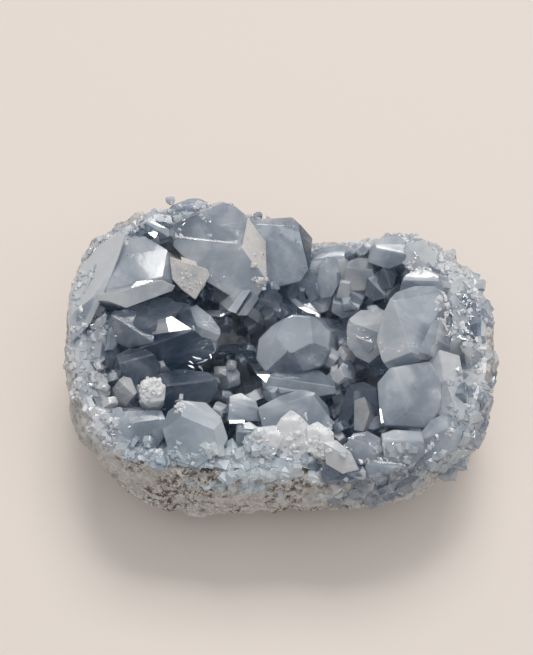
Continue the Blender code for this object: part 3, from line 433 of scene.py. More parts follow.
# Young crystals in the hollow: how many are tried, in which box on the reference view, their width, the
# height that they start under, and how much longer they may be for each millimetre that they start below it
YOUNG_CRYSTALS = 560
YOUNG_BOX = ((-44, -26), (44, 24))
YOUNG_SIZE = (2.0, 5.0)
YOUNG_BELOW = 38.0
YOUNG_REACH = 0.65
YOUNG_FINISHES = ("soft", "pale", "deep", "milky", "clear")

# Crystal faces with a finish of their own: the crystal and which of its end faces. Most of them make one face of
# a crystal paler or darker than its others, which is painted light and painted shade; the giant's beige face is a
# real frosted stain.
FACE_FINISHES_AND_PAINTED_SHADING = {
    ("giant", 0): "dusk", ("giant", 1): "pale", ("giant", 2): "beige", ("clear_left", 0): "pale",
    ("clear_left", 1): "milky", ("left_dark_giant", 0): "soft", ("left_dark_giant", 1): "slate",
    ("tablet", 0): "soft", ("tablet", 1): "slate", ("right_chisel", 0): "pale",
    ("right_chisel", 1): "soft", ("right_block", 0): "soft",
}

# How far a face's finish may be from its crystal's: milky, frosted, dark and brown
FACE_VARIETY = (0.20, 0.10, 0.16, 0.05)

# Patches of sugar-sized crystals: the corners of a box on the reference view, how many, their width and finish
SUGAR_PATCHES = [
    ((-6, 13), (-2.8, 22), 50, 0.8, "beige"), ((-24, 13), (-18, 18), 30, 0.6, "beige"),
    ((-6, -25.4), (13, -18.6), 90, 1.0, "white"), ((-33.2, -14.2), (-27, -7.2), 130, 0.75, "sugar"),
    ((-24.8, -15.8), (-22, -13), 30, 0.5, "sugar"), ((-8, -27), (2, -20), 60, 1.0, "milky"),
    ((8, -30), (19, -24), 50, 1.0, "milky"), ((-42, -31), (-24, -23), 70, 1.5, "pale"),
    ((-26, -32), (-2, -24), 130, 1.6, "milky"), ((-2, -32), (24, -26), 110, 1.5, "pale"),
    ((20, -32), (42, -24), 70, 1.7, "pale"), ((37, 0), (47.5, 13), 110, 0.9, "sugar"),
    ((30, 17), (45, 25), 150, 0.9, "sugar"), ((-36, 26), (-16, 34), 70, 0.9, "milky"),
    ((-48, -18), (-41, 8), 90, 1.0, "pale"), ((40, -20), (48, 0), 60, 1.0, "pale"),
    ((-46, -26), (-38, -16), 60, 1.0, "milky"),
]
SUGAR_SPREAD = (0.5, 1.5)  # of the width

# Sugar-sized crystals along the crust's lip: how many are tried, how far across the rim, their width
RIM_SUGAR = 700
RIM_SUGAR_SHARES = (0.35, 1.25)
RIM_SUGAR_SIZE = (0.6, 1.5)
RIM_SUGAR_FINISHES = ("milky", "sugar", "milky", "pale")

# Noise that leaves places bare of sugar and grains: the size of its cells, its seed, and below which value
PATCH_GAPS = (4.0, 2, -0.15)
LIP_GAPS = (5.0, 6, -0.1)
GRAIN_GAPS = (5.0, 4, -0.2)

# Crystals on the rock: from and to which bearing, how far across the rim (0 is its outer edge, 1 its inner
# edge, and below 0 down the outer wall, in centimetres), how many are tried, their width, their finish
RIM_GRAINS = [
    ((8, 40), (-0.1, 0.8), 260, 1.3, "milky"), ((35, 62), (-0.3, 0.8), 300, 1.3, "sugar"),
    ((60, 84), (-0.1, 0.6), 40, 1.0, "milky"), ((84, 105), (-0.1, 0.8), 70, 1.4, "milky"),
    ((105, 160), (0.1, 0.9), 240, 1.2, "milky"), ((105, 165), (-0.3, 0.9), 190, 1.0, "sugar"),
    ((160, 200), (-0.2, 0.8), 200, 1.1, "milky"), ((200, 235), (-0.4, 0.8), 250, 1.5, "milky"),
    ((225, 262), (-0.2, 0.9), 190, 1.8, "milky"), ((262, 290), (-0.2, 0.9), 140, 1.7, "milky"),
    ((285, 325), (-0.4, 0.8), 260, 2.0, "pale"), ((322, 370), (-0.5, 0.8), 330, 2.0, "pale"),
    ((-30, 30), (-0.9, -0.1), 160, 1.6, "pale"), ((292, 345), (-1.5, -0.2), 170, 2.9, "soft"),
    ((296, 345), (-1.5, -0.2), 130, 1.9, "pale"), ((240, 292), (-0.8, -0.1), 90, 1.3, "milky"),
    ((224, 250), (-0.3, 1.0), 130, 1.7, "milky"), ((244, 264), (-0.2, 0.9), 80, 1.8, "milky"),
    ((275, 320), (-1.6, -0.2), 120, 1.5, "milky"),
]

# The rind's surface: rows of points underneath, up the wall, over the rim and down the hollow
ROWS_UNDER = 12
ROWS_UP = 84
ROWS_OVER = 18
ROWS_DOWN = 34
FOOT_FADE = 5.0  # the height at which the relief has its full strength
PIT_DEPTH = 2.2
HOLLOW_RELIEF = 0.25  # the rock's highest relief in the hollow, where the crust lies against it

# Tints of the crystal and of the rock
WARM_MILK = (0.79, 0.775, 0.765)
ICY_MILK = (0.70, 0.80, 0.87)
ABSORBED = (0.55, 0.68, 0.82)
ABSORPTION = 11.0
CELESTITE_IOR = 1.62
GREY_ROCK = (0.66, 0.66, 0.67)
BLUE_BLOTCH = (0.40, 0.42, 0.445)
PALE_PATCH = (0.86, 0.85, 0.84)
BEIGE_ROCK = (0.62, 0.56, 0.49)
WHITE_GRAIN = (0.97, 0.965, 0.955)
BROWN_GRIT = (0.115, 0.08, 0.055)
# Painted light: a near-white that the rock's front is mixed towards, so that it looks lit
FRONT_PAINTED_LIGHT = (1.0, 0.99, 0.97)
HOLLOW_WALL = (0.84, 0.87, 0.90)

# The stage: half the floor's width in metres; each lamp's name, place, width and depth in metres, power and
# colour; the point that they face; and the room's own light
FLOOR_HALF = 3.0
LAMPS = [
    ("window", (0.10, 0.65, 1.45), (0.70, 0.50), 8.5, (1.0, 0.97, 0.93)),
    ("pane", Vector(GLINT_LAMP) * MM, (0.26, 0.18), 2.6, (1.0, 0.98, 0.96)),
    ("fill", (0.12, -0.20, 1.10), (1.20, 1.00), 3.6, (0.97, 0.98, 1.0)),
]
LAMPS_FACE = (0, 0, 0.03)
ROOM_LIGHT = ((1.0, 0.97, 0.94, 1.0), 0.42)


class GeodeSizes(bpy.types.PropertyGroup):
    """Sizes that a user would change."""

    rind_columns: bpy.props.IntProperty(
        name="Rind columns", description="Points round the rind's surface", default=600, min=64, max=640
    )
    roughness_of_rock: bpy.props.FloatProperty(
        name="Rock relief", description="Height of the rock's lumps and pits, in millimetres", default=1.0,
        min=0.0, max=1.5,
    )
    growth_step: bpy.props.FloatProperty(
        name="Growth step", description="How far a growth step stands out of a face, in millimetres",
        default=0.7, min=0.0, max=1.5,
    )
    sugar_share: bpy.props.FloatProperty(
        name="Sugar crystals", description="Share of the sugar-sized crystals that are made",
        default=1.0, min=0.0, max=1.0,
    )


class GeodeColours(bpy.types.PropertyGroup):
    """Colours that a user would change."""

    clear: bpy.props.FloatVectorProperty(
        name="Clear crystal", description="Clear celestite", subtype="COLOR", size=3,
        default=(0.40, 0.56, 0.77),
    )
    slate: bpy.props.FloatVectorProperty(
        name="Dark crystal", description="The darkest crystals", subtype="COLOR", size=3,
        default=(0.025, 0.09, 0.22),
    )
    milky: bpy.props.FloatVectorProperty(
        name="Milky crystal", description="Cloudy celestite", subtype="COLOR", size=3,
        default=(0.76, 0.795, 0.835),
    )
    frost: bpy.props.FloatVectorProperty(
        name="Frost", description="Rough, broken and sugary places", subtype="COLOR", size=3,
        default=(0.87, 0.885, 0.91),
    )
    stain: bpy.props.FloatVectorProperty(
        name="Stain", description="Iron-stained crystal", subtype="COLOR", size=3, default=(0.62, 0.55, 0.48)
    )
    rock: bpy.props.FloatVectorProperty(
        name="Rock", description="The rind's main colour", subtype="COLOR", size=3, default=(0.73, 0.72, 0.71)
    )
    floor: bpy.props.FloatVectorProperty(
        name="Floor", description="The stage's floor", subtype="COLOR", size=3, default=(0.75, 0.69, 0.645)
    )


def by_bearing(table, bearing):
    """A smooth value round the geode: the table's values, weighted by a bell curve of their distance."""
    degrees, values = np.array(table, dtype=float).T
    apart = (np.degrees(bearing)[..., None] - degrees + 180) % 360 - 180
    weight = np.exp(-((apart / BLEND_DEGREES) ** 2) / 2) + 1e-9
    return (weight * values).sum(axis=-1) / weight.sum(axis=-1)


def plan_radius(bearing):
    """The widest outline: |x/a|^n + |y/b|^n = 1, a rounded box, plus its shifts."""
    along = np.abs(np.cos(bearing)) / HALF_LENGTH
    across = np.abs(np.sin(bearing)) / HALF_DEPTH
    even = (along**PLAN_SQUARENESS + across**PLAN_SQUARENESS) ** (-1 / PLAN_SQUARENESS)
    return even + by_bearing(OUTLINE_SHIFTS, bearing)


def rim_height(bearing):
    """Height of the rim: its table and two small waves."""
    return by_bearing(RIM_HEIGHTS, bearing) + 0.5 * np.sin(7 * bearing + 0.8) + 0.35 * np.sin(12 * bearing)


def wall_scale(bearing, height):
    """The outside's width at a height, as a share of the widest: (1 - t^n)^(1/n), t being the way from it."""
    above = (height - GIRTH_HEIGHT) / (rim_height(bearing) - GIRTH_HEIGHT) * WALL_LEAN_IN
    below = (GIRTH_HEIGHT - height) / WALL_REACH_DOWN
    share = np.clip(np.where(height > GIRTH_HEIGHT, above, below), 0, 0.999)
    return (1 - share**WALL_SQUARENESS) ** (1 / WALL_SQUARENESS)


def lump(bearing, height):
    """Broad lumps outside: four waves round the geode that shift with height."""
    waves = ((3, 0.09, 0.4, 0.45), (5, -0.13, 1.9, 0.3), (8, 0.21, 4.1, 0.2), (13, -0.3, 2.2, 0.12))
    return LUMP_HEIGHT * sum(
        size * np.sin(count * bearing + twist * height + start) for count, twist, start, size in waves
    )


def round_axis(radius, bearing, height):
    """Points at a radius, a bearing and a height."""
    return np.stack(np.broadcast_arrays(radius * np.cos(bearing), radius * np.sin(bearing), height), axis=-1)


def outer_wall(bearing, height, grow=0.0):
    """The outside: widest outline times wall_scale, plus the lumps."""
    radius = plan_radius(bearing) * wall_scale(bearing, height) + lump(bearing, height) + grow
    return round_axis(radius, bearing, height)


def rim_inner_radius(bearing):
    """The hollow's mouth: the outside's width at the rim's top, less the rim's own width."""
    return plan_radius(bearing) * wall_scale(bearing, rim_height(bearing)) - by_bearing(RIM_WIDTHS, bearing)


def rim_top(bearing, share, drop, grow=0.0):
    """Across the rim, from its outer edge at share 0 to its inner edge at 1."""
    outer = plan_radius(bearing) * wall_scale(bearing, rim_height(bearing) - EDGE_DROP)
    radius = outer + (rim_inner_radius(bearing) - outer) * share
    return round_axis(radius, bearing, rim_height(bearing) + grow - drop)


def bowl(bearing, share, inset=0.0):
    """The hollow's wall: radius goes with cos^(2/n) and depth with sin^(2/n) of a quarter turn from the rim."""
    angle = np.asarray(share) * math.pi / 2
    radius = (rim_inner_radius(bearing) - inset) * np.cos(angle) ** (2 / BOWL_SQUARENESS)
    depth = (rim_height(bearing) - FLOOR_HEIGHT - inset) * np.sin(angle) ** (2 / BOWL_SQUARENESS)
    return round_axis(radius, bearing, rim_height(bearing) - depth)


def value_noise(points, cell, seed):
    """Noise from -1 to 1: a random number at each corner of a cubic lattice, blended by 3t^2 - 2t^3."""
    scaled = points / cell
    base = np.floor(scaled).astype(np.int64)
    part = scaled - base
    part = part * part * (3 - 2 * part)
    total = np.zeros(points.shape[:-1])
    for corner in itertools.product((0, 1), repeat=3):
        x, y, z = np.moveaxis(base + np.array(corner), -1, 0)
        mixed = (x * 73856093) ^ (y * 19349663) ^ (z * 83492791) ^ (seed * 26544357)
        mixed = (mixed ^ (mixed >> 13)) * 1274126177
        mixed = (mixed ^ (mixed >> 16)) & 0xFFFF
        weight = np.where(np.array(corner, dtype=bool), part, 1 - part).prod(axis=-1)
        total += weight * (mixed / 32767.5 - 1)
    return total


def fractal_noise(points, cell, seed, octaves):
    """Value noise at halving cell sizes and halving heights, added up."""
    return sum(value_noise(points, cell / 2**i, seed + i) / 2**i for i in range(octaves)) / 1.6


def grid_mesh(name, rings, floor, ceiling):
    """A closed surface from an array of rings, joined row to row and round, with a fan at each pole."""
    rows, columns = rings.shape[:2]
    index = np.arange(rows * columns).reshape(rows, columns)
    beside = np.roll(index, -1, axis=1)
    quads = np.stack([index[:-1], beside[:-1], beside[1:], index[1:]], axis=-1).reshape(-1, 4)
    poles = np.array([floor, ceiling], dtype=float)
    vertices = np.concatenate([rings.reshape(-1, 3), poles]) * MM
    first, last = rows * columns, rows * columns + 1
    bottom = np.stack([beside[0], index[0], np.full(columns, first)], axis=-1)
    top = np.stack([index[-1], beside[-1], np.full(columns, last)], axis=-1)
    mesh = bpy.data.meshes.new(name)
    mesh.from_pydata(vertices, [], quads.tolist() + bottom.tolist() + top.tolist())
    return mesh


def bearings(count):
    """A row of bearings, evenly round the geode."""
    return np.linspace(-math.pi, math.pi, count, endpoint=False)[None, :]


def rind_rings(columns, strength):
    """The rock's surface, ring by ring: underneath, up the wall, over the rim and down the hollow. It is moved
    along its normals by broad noise, plus finer noise and grains, less pits, which fades out at the foot and down
    the hollow, and nothing goes below the ground."""
    b = bearings(columns)
    under = outer_wall(b, np.zeros_like(b)) * np.linspace(0.06, 1.0, ROWS_UNDER)[:, None, None]
    rise = (1 - np.cos(np.linspace(0.02, 1.0, ROWS_UP)[:, None] * math.pi / 2)) ** 0.8
    outside = outer_wall(b, (rim_height(b) - EDGE_DROP) * rise)
    across = np.linspace(0.03, 0.94, ROWS_OVER)
    over = np.concatenate([rim_top(b, s, EDGE_DROP * (1 - min(1, 3.2 * s)) ** 2) for s in across])
    wall = bowl(b, (np.linspace(0, 0.98, ROWS_DOWN) ** 1.5)[:, None])
    rings = np.concatenate([under, outside, over, wall])
    along = np.roll(rings, -1, axis=1) - np.roll(rings, 1, axis=1)
    outward = np.cross(along, np.gradient(rings, axis=0))
    outward /= np.linalg.norm(outward, axis=-1, keepdims=True) + 1e-9
    share = np.zeros(len(rings))
    share[ROWS_UNDER:-ROWS_DOWN] = 1.0
    share[-ROWS_DOWN:] = np.clip(1 - np.arange(ROWS_DOWN) / 9, 0, 1) * 0.6
    foot = np.clip(rings[..., 2] / FOOT_FADE, 0, 1)
    relief = 0.9 * fractal_noise(rings, 11.0, 3, 3) + 1.15 * fractal_noise(rings, 3.4, 9, 3) - 0.3
    pits = np.clip(fractal_noise(rings, 2.6, 21, 2) - 0.25, 0, 1)
    grains = 0.55 * fractal_noise(rings, 1.6, 33, 2)
    push = (relief + grains - PIT_DEPTH * pits) * share[:, None] * foot * strength
    push[-ROWS_DOWN:] = np.minimum(push[-ROWS_DOWN:], HOLLOW_RELIEF)
    rings = rings + outward * push[..., None]
    rings[..., 2] = np.maximum(rings[..., 2], 0.0)
    return rings


def bowl_rings(bearing, shares, inset):
    """Rings round the hollow's wall, one for each share of the way from rim to floor."""
    return [bowl(bearing, np.full((1, 1), share), inset) for share in shares]


def roughened(rings, cell, seed, heights):
    """Each ring plus fractal noise times a height along each axis."""
    return [ring + fractal_noise(ring, cell, seed, 3)[..., None] * np.array(heights) for ring in rings]


def lining_mesh():
    """The crust's base: a shell along the hollow's wall, up its back, over its lip and down its inside."""
    b = bearings(CRUST_COLUMNS)
    back = bowl_rings(b, (0.84, 0.68, 0.5, 0.34, 0.18, 0.06), -BACK_SINK)
    back += [rim_top(b, 0.75, 1.0), rim_top(b, 0.5, 0.4)]
    lip = roughened([rim_top(b, 0.45, -0.5), rim_top(b, 0.8, -1.0)], 4.0, 15, (0.7, 0.7, 0.5))
    inside = roughened(bowl_rings(b, np.linspace(0.04, 0.92, 22), LINING), 5.0, 7, (0.45, 0.45, 0.6))
    rings = np.concatenate(back + lip + inside)
    return grid_mesh("lining", rings, (0, 0, FLOOR_HEIGHT - BACK_SINK), (0, 0, FLOOR_HEIGHT + LINING))


def room_mesh():
    """The room that crystals may fill: the hollow less a gap, and what lies over it within the overhang."""
    b = bearings(CRUST_COLUMNS)
    edge_height = rim_height(b) - EDGE_DROP
    rings = bowl_rings(b, (0.9, 0.8, 0.7, 0.6, 0.5, 0.4, 0.3, 0.2, 0.1, 0.0), GAP)
    rings += [rim_top(b, 0.6, 0.0, GAP), rim_top(b, 0.25, 0.3, GAP)]
    rings.append(outer_wall(b, edge_height, GAP) + np.array((0, 0, 1.0)))
    edge = outer_wall(b, edge_height, OVERHANG)
    rings.append(edge + np.array((0, 0, 1.5)))
    rings.append(np.concatenate([edge[..., :2], np.full_like(edge[..., :1], ROOM_TOP)], axis=-1))
    return grid_mesh("room", np.concatenate(rings), (0, 0, FLOOR_HEIGHT + GAP), (0, 0, ROOM_TOP))


def view_ray(across, up):
    """The way from the viewer's eye to a point of the reference view: AIM + right * across + up - eye."""
    return AIM + VIEW_RIGHT * across + VIEW_UP * up - EYE


def sight(across, up, height):
    """Where the line of sight through a point of the reference view meets a height."""
    ray = view_ray(across, up)
    return EYE + ray * ((height - EYE[2]) / ray[2])


def seen_spot(tree, across, up):
    """The point of a surface that the viewer sees at a point of the reference view, and its normal there."""
    return tree.ray_cast(Vector(EYE * MM), Vector(view_ray(across, up)))[:2]


def direction(bearing, rise):
    """A unit vector from a bearing in plan and a rise above the horizon, in degrees."""
    b, r = math.radians(bearing), math.radians(rise)
    return np.array((math.cos(b) * math.cos(r), math.sin(b) * math.cos(r), math.sin(r)))


def root_length(top, axis):
    """How far back along its axis a crystal is rooted: past the first step that leaves the hollow."""
    steps = np.arange(3.0, LONGEST, 0.5)
    points = top - axis * steps[:, None]
    bearing = np.arctan2(points[:, 1], points[:, 0])
    rim = rim_height(bearing)
    out = np.clip(np.hypot(points[:, 0], points[:, 1]) / rim_inner_radius(bearing), 0, 1)
    down = np.clip((rim - points[:, 2]) / (rim - FLOOR_HEIGHT), 0, None)
    inside = (points[:, 2] > rim) | (out**BOWL_SQUARENESS + down**BOWL_SQUARENESS < 1)
    outside = np.nonzero(~inside)[0]
    return (steps[outside[0]] if len(outside) else LONGEST) + ROOT_DEPTH


def traced_faces(top, lean, outline, ends):
    """A large crystal's faces as outward normals and distances: sides through the outline, ends and root."""
    apex = sight(*top)
    axis = direction(*lean)
    depth = (apex - EYE) @ TO_VIEWER
    across, up = np.array(outline, dtype=float).T[:, :, None]
    rays = view_ray(across, up)
    corners = EYE + rays * (depth / (rays @ TO_VIEWER))[:, None]
    middle = corners.mean(axis=0)
    sides = np.cross(np.roll(corners, -1, axis=0) - corners, axis)
    sides /= np.linalg.norm(sides, axis=1)[:, None]
    sides *= np.where(((middle - corners) * sides).sum(axis=1) > 0, -1, 1)[:, None]
    normals = list(sides)
    distances = list((corners * sides).sum(axis=1))
    for bearing, slope, back in ends:
        b, s = math.radians(bearing), math.radians(slope)
        sideways = VIEW_RIGHT * math.cos(b) + VIEW_UP * math.sin(b)
        normal = TO_VIEWER * math.cos(s) + sideways * math.sin(s)
        normals.append(normal)
        distances.append(normal @ (apex + sideways * back))
    normals.append(-axis)
    distances.append(-axis @ apex + root_length(apex, axis))
    return np.array(normals), np.array(distances)


def mirror_end(apex):
    """The end face that reflects GLINT_LAMP to the viewer: its normal lies halfway between the two."""
    ways = np.array([EYE, GLINT_LAMP]) - apex
    normal = (ways / np.linalg.norm(ways, axis=1)[:, None]).sum(axis=0)
    normal /= np.linalg.norm(normal)
    bearing = math.degrees(math.atan2(normal @ VIEW_UP, normal @ VIEW_RIGHT))
    return bearing, math.degrees(math.acos(normal @ TO_VIEWER)), 0


def small_faces(foot, aim, width, dice, extra=0.0):
    """The faces of a small wedge-ended crystal on a foot, leaning towards a point, more or less."""
    axis = ((aim - foot).normalized() + 0.35 * Vector([dice.uniform(-1, 1) for _ in range(3)])).normalized()
    thick = width * dice.uniform(0.45, 0.85)
    apex = foot + axis * (LINING + extra + width * dice.uniform(0.6, 1.1))
    side = axis.orthogonal().normalized()
    side.rotate(Matrix.Rotation(dice.uniform(0, math.tau), 3, axis))
    other = axis.cross(side)
    planes = [(foot - axis * 1.5, -axis), (apex - axis * 0.12 * width, axis.copy())]
    wide = 1.1 * width
    for turn, reach in ((0, width), (180, width), (90, thick), (270, thick), (42, wide), (222, wide)):
        normal = side * math.cos(math.radians(turn)) + other * math.sin(math.radians(turn))
        planes.append((foot + normal * reach * dice.uniform(0.44, 0.52), normal))
    for turn, back in ((0, 0.0), (180, 0.0), (70, 0.1), (250, 0.2)):
        sideways = side * math.cos(math.radians(turn)) + other * math.sin(math.radians(turn))
        slope = axis * 0.65 + sideways * dice.uniform(0.5, 1.1)
        planes.append((apex + sideways * back * thick, slope.normalized()))
    normals = np.array([tuple(n) for _, n in planes])
    return normals, (np.array([tuple(p) for p, _ in planes]) * normals).sum(axis=1)


def sugar_faces(spot, normal, width, dice):
    """The faces of a sugar-sized crystal: a short block with four sloping ends, tipped off the surface."""
    axis = Vector(normal) + 0.55 * Vector([dice.uniform(-1, 1) for _ in range(3)])
    axis.normalize()
    side = axis.orthogonal().normalized()
    side.rotate(Matrix.Rotation(dice.uniform(0, math.tau), 3, axis))
    other = axis.cross(side)
    long = width * dice.uniform(0.5, 1.0)
    thick = width * dice.uniform(0.3, 0.6)
    rise = width * dice.uniform(0.15, 0.55)
    directions = [-axis, side, -side, other, -other]
    reaches = [width * 0.6, long, long * dice.uniform(0.5, 1.0), thick, thick * dice.uniform(0.6, 1.0)]
    for lean, steepness in ((side, 0.55), (-side, 0.45), (other, 0.8), (-other, 0.9)):
        directions.append((axis + lean * steepness * dice.uniform(0.6, 1.4)).normalized())
        reaches.append(rise * dice.uniform(0.7, 1.0))
    normals = np.array([tuple(d) for d in directions])
    return normals, normals @ np.array(spot) + np.array(reaches)


def solid_between(normals, distances):
    """A convex solid: its corners are the points where three faces meet and that no other face cuts off.

    A shift of each face by a few thousandths of a millimetre keeps a fourth face from meeting at a corner.
    """
    count = len(normals)
    distances = distances + 0.004 * np.sin(np.arange(count) * 2.399 + 1.0)
    triples = np.array(list(itertools.combinations(range(count), 3)))
    matrices = normals[triples]
    triples = triples[np.abs(np.linalg.det(matrices)) > 1e-5]
    corners = np.linalg.solve(normals[triples], distances[triples][..., None])[..., 0]
    kept = corners @ normals.T <= distances + 1e-7
    own = (triples[:, :, None] == np.arange(count)).any(axis=1)
    kept = (kept | own).all(axis=1)
    triples, corners = triples[kept], corners[kept]
    faces = []
    for i, normal in enumerate(normals):
        on = np.nonzero((triples == i).any(axis=1))[0]
        if len(on) < 3:
            continue
        spokes = corners[on] - corners[on].mean(axis=0)
        side = np.cross(normal, (0.31, 0.57, 0.76))
        other = np.cross(normal, side)
        turn = np.arctan2(spokes @ other, spokes @ side * np.linalg.norm(other))
        faces.append(on[np.argsort(turn)].tolist())
    return corners, faces


def growth_steps(normals, distances, count, size, step, dice):
    """Parallel growth: copies of a crystal, smaller all over, that stand a little out of one face each."""
    for _ in range(count):
        smaller = distances - size * np.array([dice.uniform(*STEP_SHRINK) for _ in distances])
        smaller[-1] = distances[-1] - 0.3
        chosen = dice.randrange(len(distances) - 1)
        smaller[chosen] = distances[chosen] + step * dice.uniform(*STEP_RISE)
        yield normals, smaller


def crystal_object(name, normals, distances, rounding, collection):
    """One crystal as an object to be joined, with a bevel along its edges."""
    corners, faces = solid_between(normals, distances)
    mesh = bpy.data.meshes.new(name)
    mesh.from_pydata(corners * MM, [], faces)
    made = bpy.data.objects.new(name, mesh)
    collection.objects.link(made)
    if rounding:
        bevel = made.modifiers.new("edges", "BEVEL")
        bevel.width = rounding * MM
        bevel.segments = 3 if rounding > 0.3 else 1
        bevel.limit_method = "NONE"
    return made


def joined(base, others, trim=None):
    """The union of a mesh with every object of a collection, cut to the room that is left for it."""
    target = bpy.data.objects.new("joined", base)
    bpy.context.scene.collection.objects.link(target)
    union = target.modifiers.new("join", "BOOLEAN")
    union.operation = "UNION"
    union.solver = "MANIFOLD"
    union.operand_type = "COLLECTION"
    union.collection = others
    if trim:
        cut = target.modifiers.new("trim", "BOOLEAN")
        cut.operation = "INTERSECT"
        cut.solver = "MANIFOLD"
        cut.object = trim
    bpy.context.view_layer.update()
    mesh = bpy.data.meshes.new_from_object(target.evaluated_get(bpy.context.evaluated_depsgraph_get()))
    bpy.data.objects.remove(target)
    return mesh


def surface_tree(mesh):
    """A tree of a mesh's faces that a line of sight can be tested against."""
    corners = [vertex.co[:] for vertex in mesh.vertices]
    return BVHTree.FromPolygons(corners, [tuple(face.vertices) for face in mesh.polygons])


def face_field(mesh, field):
    """A field of three numbers for every face, such as its centre or its normal."""
    values = np.empty(len(mesh.polygons) * 3)
    mesh.polygons.foreach_get(field, values)
    return values.reshape(-1, 3)


def paint_finish(mesh, crystals, rest):
    """Gives each face the finish and the axis of the crystal whose surface it lies on: the one whose greatest
    distance beyond a face of its own is nearest to nothing. It also notes how far a face is a side face."""
    centres = face_field(mesh, "center") / MM
    nearest = np.full(len(centres), 0.9)
    finish = np.tile(np.array(rest, dtype=float), (len(centres), 1))
    axes = np.zeros((len(centres), 3))
    for normals, distances, looks, axis in crystals:
        beyond = centres @ normals.T - distances
        face = beyond.argmax(axis=1)
        off = np.abs(beyond.max(axis=1))
        closer = off < nearest
        nearest[closer] = off[closer]
        finish[closer] = looks[face[closer]]
        axes[closer] = axis
    side = 1 - np.abs((face_field(mesh, "normal") * axes).sum(axis=1))
    corners = np.empty(len(mesh.polygons), dtype=int)
    mesh.polygons.foreach_get("loop_total", corners)
    for name, kind, field, values in (
        ("finish", "FLOAT_COLOR", "color", finish),
        ("long_axis", "FLOAT_VECTOR", "vector", axes),
        ("side_face", "FLOAT", "value", side),
    ):
        layer = mesh.attributes.new(name, kind, "CORNER")
        layer.data.foreach_set(field, np.repeat(values, corners, axis=0).astype(np.float32).ravel())


def face_looks(name, sides, count, look, dice):
    """A finish for each face: the crystal's own, more or less, unless the face table gives it another, which
    paints light onto some faces and shade onto others.
    """
    looks = np.tile(np.array(FINISHES[look], dtype=float), (count, 1))
    looks += dice.uniform(-1, 1, (count, 4)) * FACE_VARIETY
    name = name.split("_step_")[0]
    for (crystal, end), other in FACE_FINISHES_AND_PAINTED_SHADING.items():
        if crystal == name:
            looks[sides + end] = FINISHES[other]
    return np.clip(looks, 0, 1)


def new_object(name, data):
    """An object in the scene for a mesh, a camera or a lamp."""
    made = bpy.data.objects.new(name, data)
    bpy.context.scene.collection.objects.link(made)
    return made


class Growth:
    """Crystals that are yet to be joined, and what it takes to paint each one's finish on the joined mesh."""

    def __init__(self, finish_seed):
        self.finish_dice = np.random.default_rng(finish_seed)
        self.looks = []
        self.crystals = bpy.data.collections.new("growing")
        bpy.context.scene.collection.children.link(self.crystals)

    def add(self, name, faces, look, rounding=0.0, sides=0):
        """Adds a crystal with the given faces. A traced one has side faces first and its root face last."""
        normals, distances = faces
        crystal_object(name, normals, distances, rounding, self.crystals)
        shades = face_looks(name, sides, len(normals), look, self.finish_dice)
        self.looks.append((normals, distances, shades, normals[-1] if sides else normals[0]))

    def add_sugar(self, name, hit, gaps, sizes, look, dice):
        """Adds a sugar-sized crystal where a ray met a surface, unless noise leaves that place bare."""
        spot, normal = hit
        cell, seed, least = gaps
        if spot is None or value_noise(np.array(spot) / MM, cell, seed) < least:
            return
        width, spread = sizes
        size = width * dice.uniform(*spread)
        self.add(name, sugar_faces(np.array(spot) / MM, normal, size, dice), look)

    def join_to(self, base, trim=None):
        """The union of a mesh with all crystals so far, which are then gone as objects."""
        mesh = joined(base, self.crystals, trim)
        for crystal in list(self.crystals.objects):
            bpy.data.objects.remove(crystal)
        return mesh

    def finish(self, mesh, name, rest, edge_angle=None):
        """Names and paints a joined mesh, and shades it flat, or smooth between edges sharper than an angle."""
        bpy.data.collections.remove(self.crystals)
        mesh.name = name
        paint_finish(mesh, self.looks, FINISHES[rest])
        smooth = edge_angle is not None
        mesh.polygons.foreach_set("use_smooth", np.full(len(mesh.polygons), smooth))
        if smooth:
            mesh.set_sharp_from_angle(angle=math.radians(edge_angle))
        mesh.materials.clear()


def grow_wall(growth, dice):
    """Small crystals between the large ones and along the rim, leaning in."""
    for i in range(FILLERS):
        foot = bowl(np.array(dice.uniform(0, math.tau)), dice.uniform(0.05, 0.8) ** 1.2, -0.5)
        faces = small_faces(Vector(foot), Vector(FILLER_AIM), dice.uniform(*FILLER_SIZE), dice)
        growth.add(f"wall_{i}", faces, WALL_FINISHES[i % len(WALL_FINISHES)], 0.12)
    for i in range(RIM_CRYSTALS):
        bearing = math.tau * (i + dice.uniform(-0.3, 0.3)) / RIM_CRYSTALS
        foot = Vector(bowl(np.array(bearing), dice.uniform(0.02, 0.06), 0.8)) - Vector((0, 0, 1.0))
        aim = foot * 0.6 + Vector((0, 0, 45))
        faces = small_faces(foot, aim, dice.uniform(*RIM_CRYSTAL_SIZE), dice)
        growth.add(f"rim_{i}", faces, RIM_FINISHES[i % len(RIM_FINISHES)], 0.1)


def grow_large(growth, dice, growth_step):
    """The large crystals, with growth steps on their faces and companions at their feet, and the glints."""
    for name, top, lean, outline, ends, look, rounding, steps in CRYSTALS + DETAILS:
        faces = traced_faces(top, lean, outline, ends)
        growth.add(name, faces, look, rounding, len(outline))
        spread = np.ptp(np.array(outline), axis=0).min()
        for k, smaller in enumerate(growth_steps(*faces, steps, spread, growth_step, dice)):
            growth.add(f"{name}_step_{k}", smaller, look, min(rounding, FINE_EDGE), len(outline))
        for k in range(steps + 1 if steps else 0):
            across, up = outline[dice.randrange(len(outline))]
            width = dice.uniform(*COMPANION_SIZE)
            drop = dice.uniform(*COMPANION_DROP) + width + LINING
            foot = Vector(sight(across, up, top[2] - drop))
            aim = foot + Vector(direction(*lean)) * 20 + Vector((0, 0, 6))
            growth.add(f"{name}_beside_{k}", small_faces(foot, aim, width, dice), look, FINE_EDGE)
    for name, top, lean, outline in GLINTS:
        faces = traced_faces(top, lean, outline, [mirror_end(sight(*top))])
        growth.add(name, faces, "mirror", 0, len(outline))


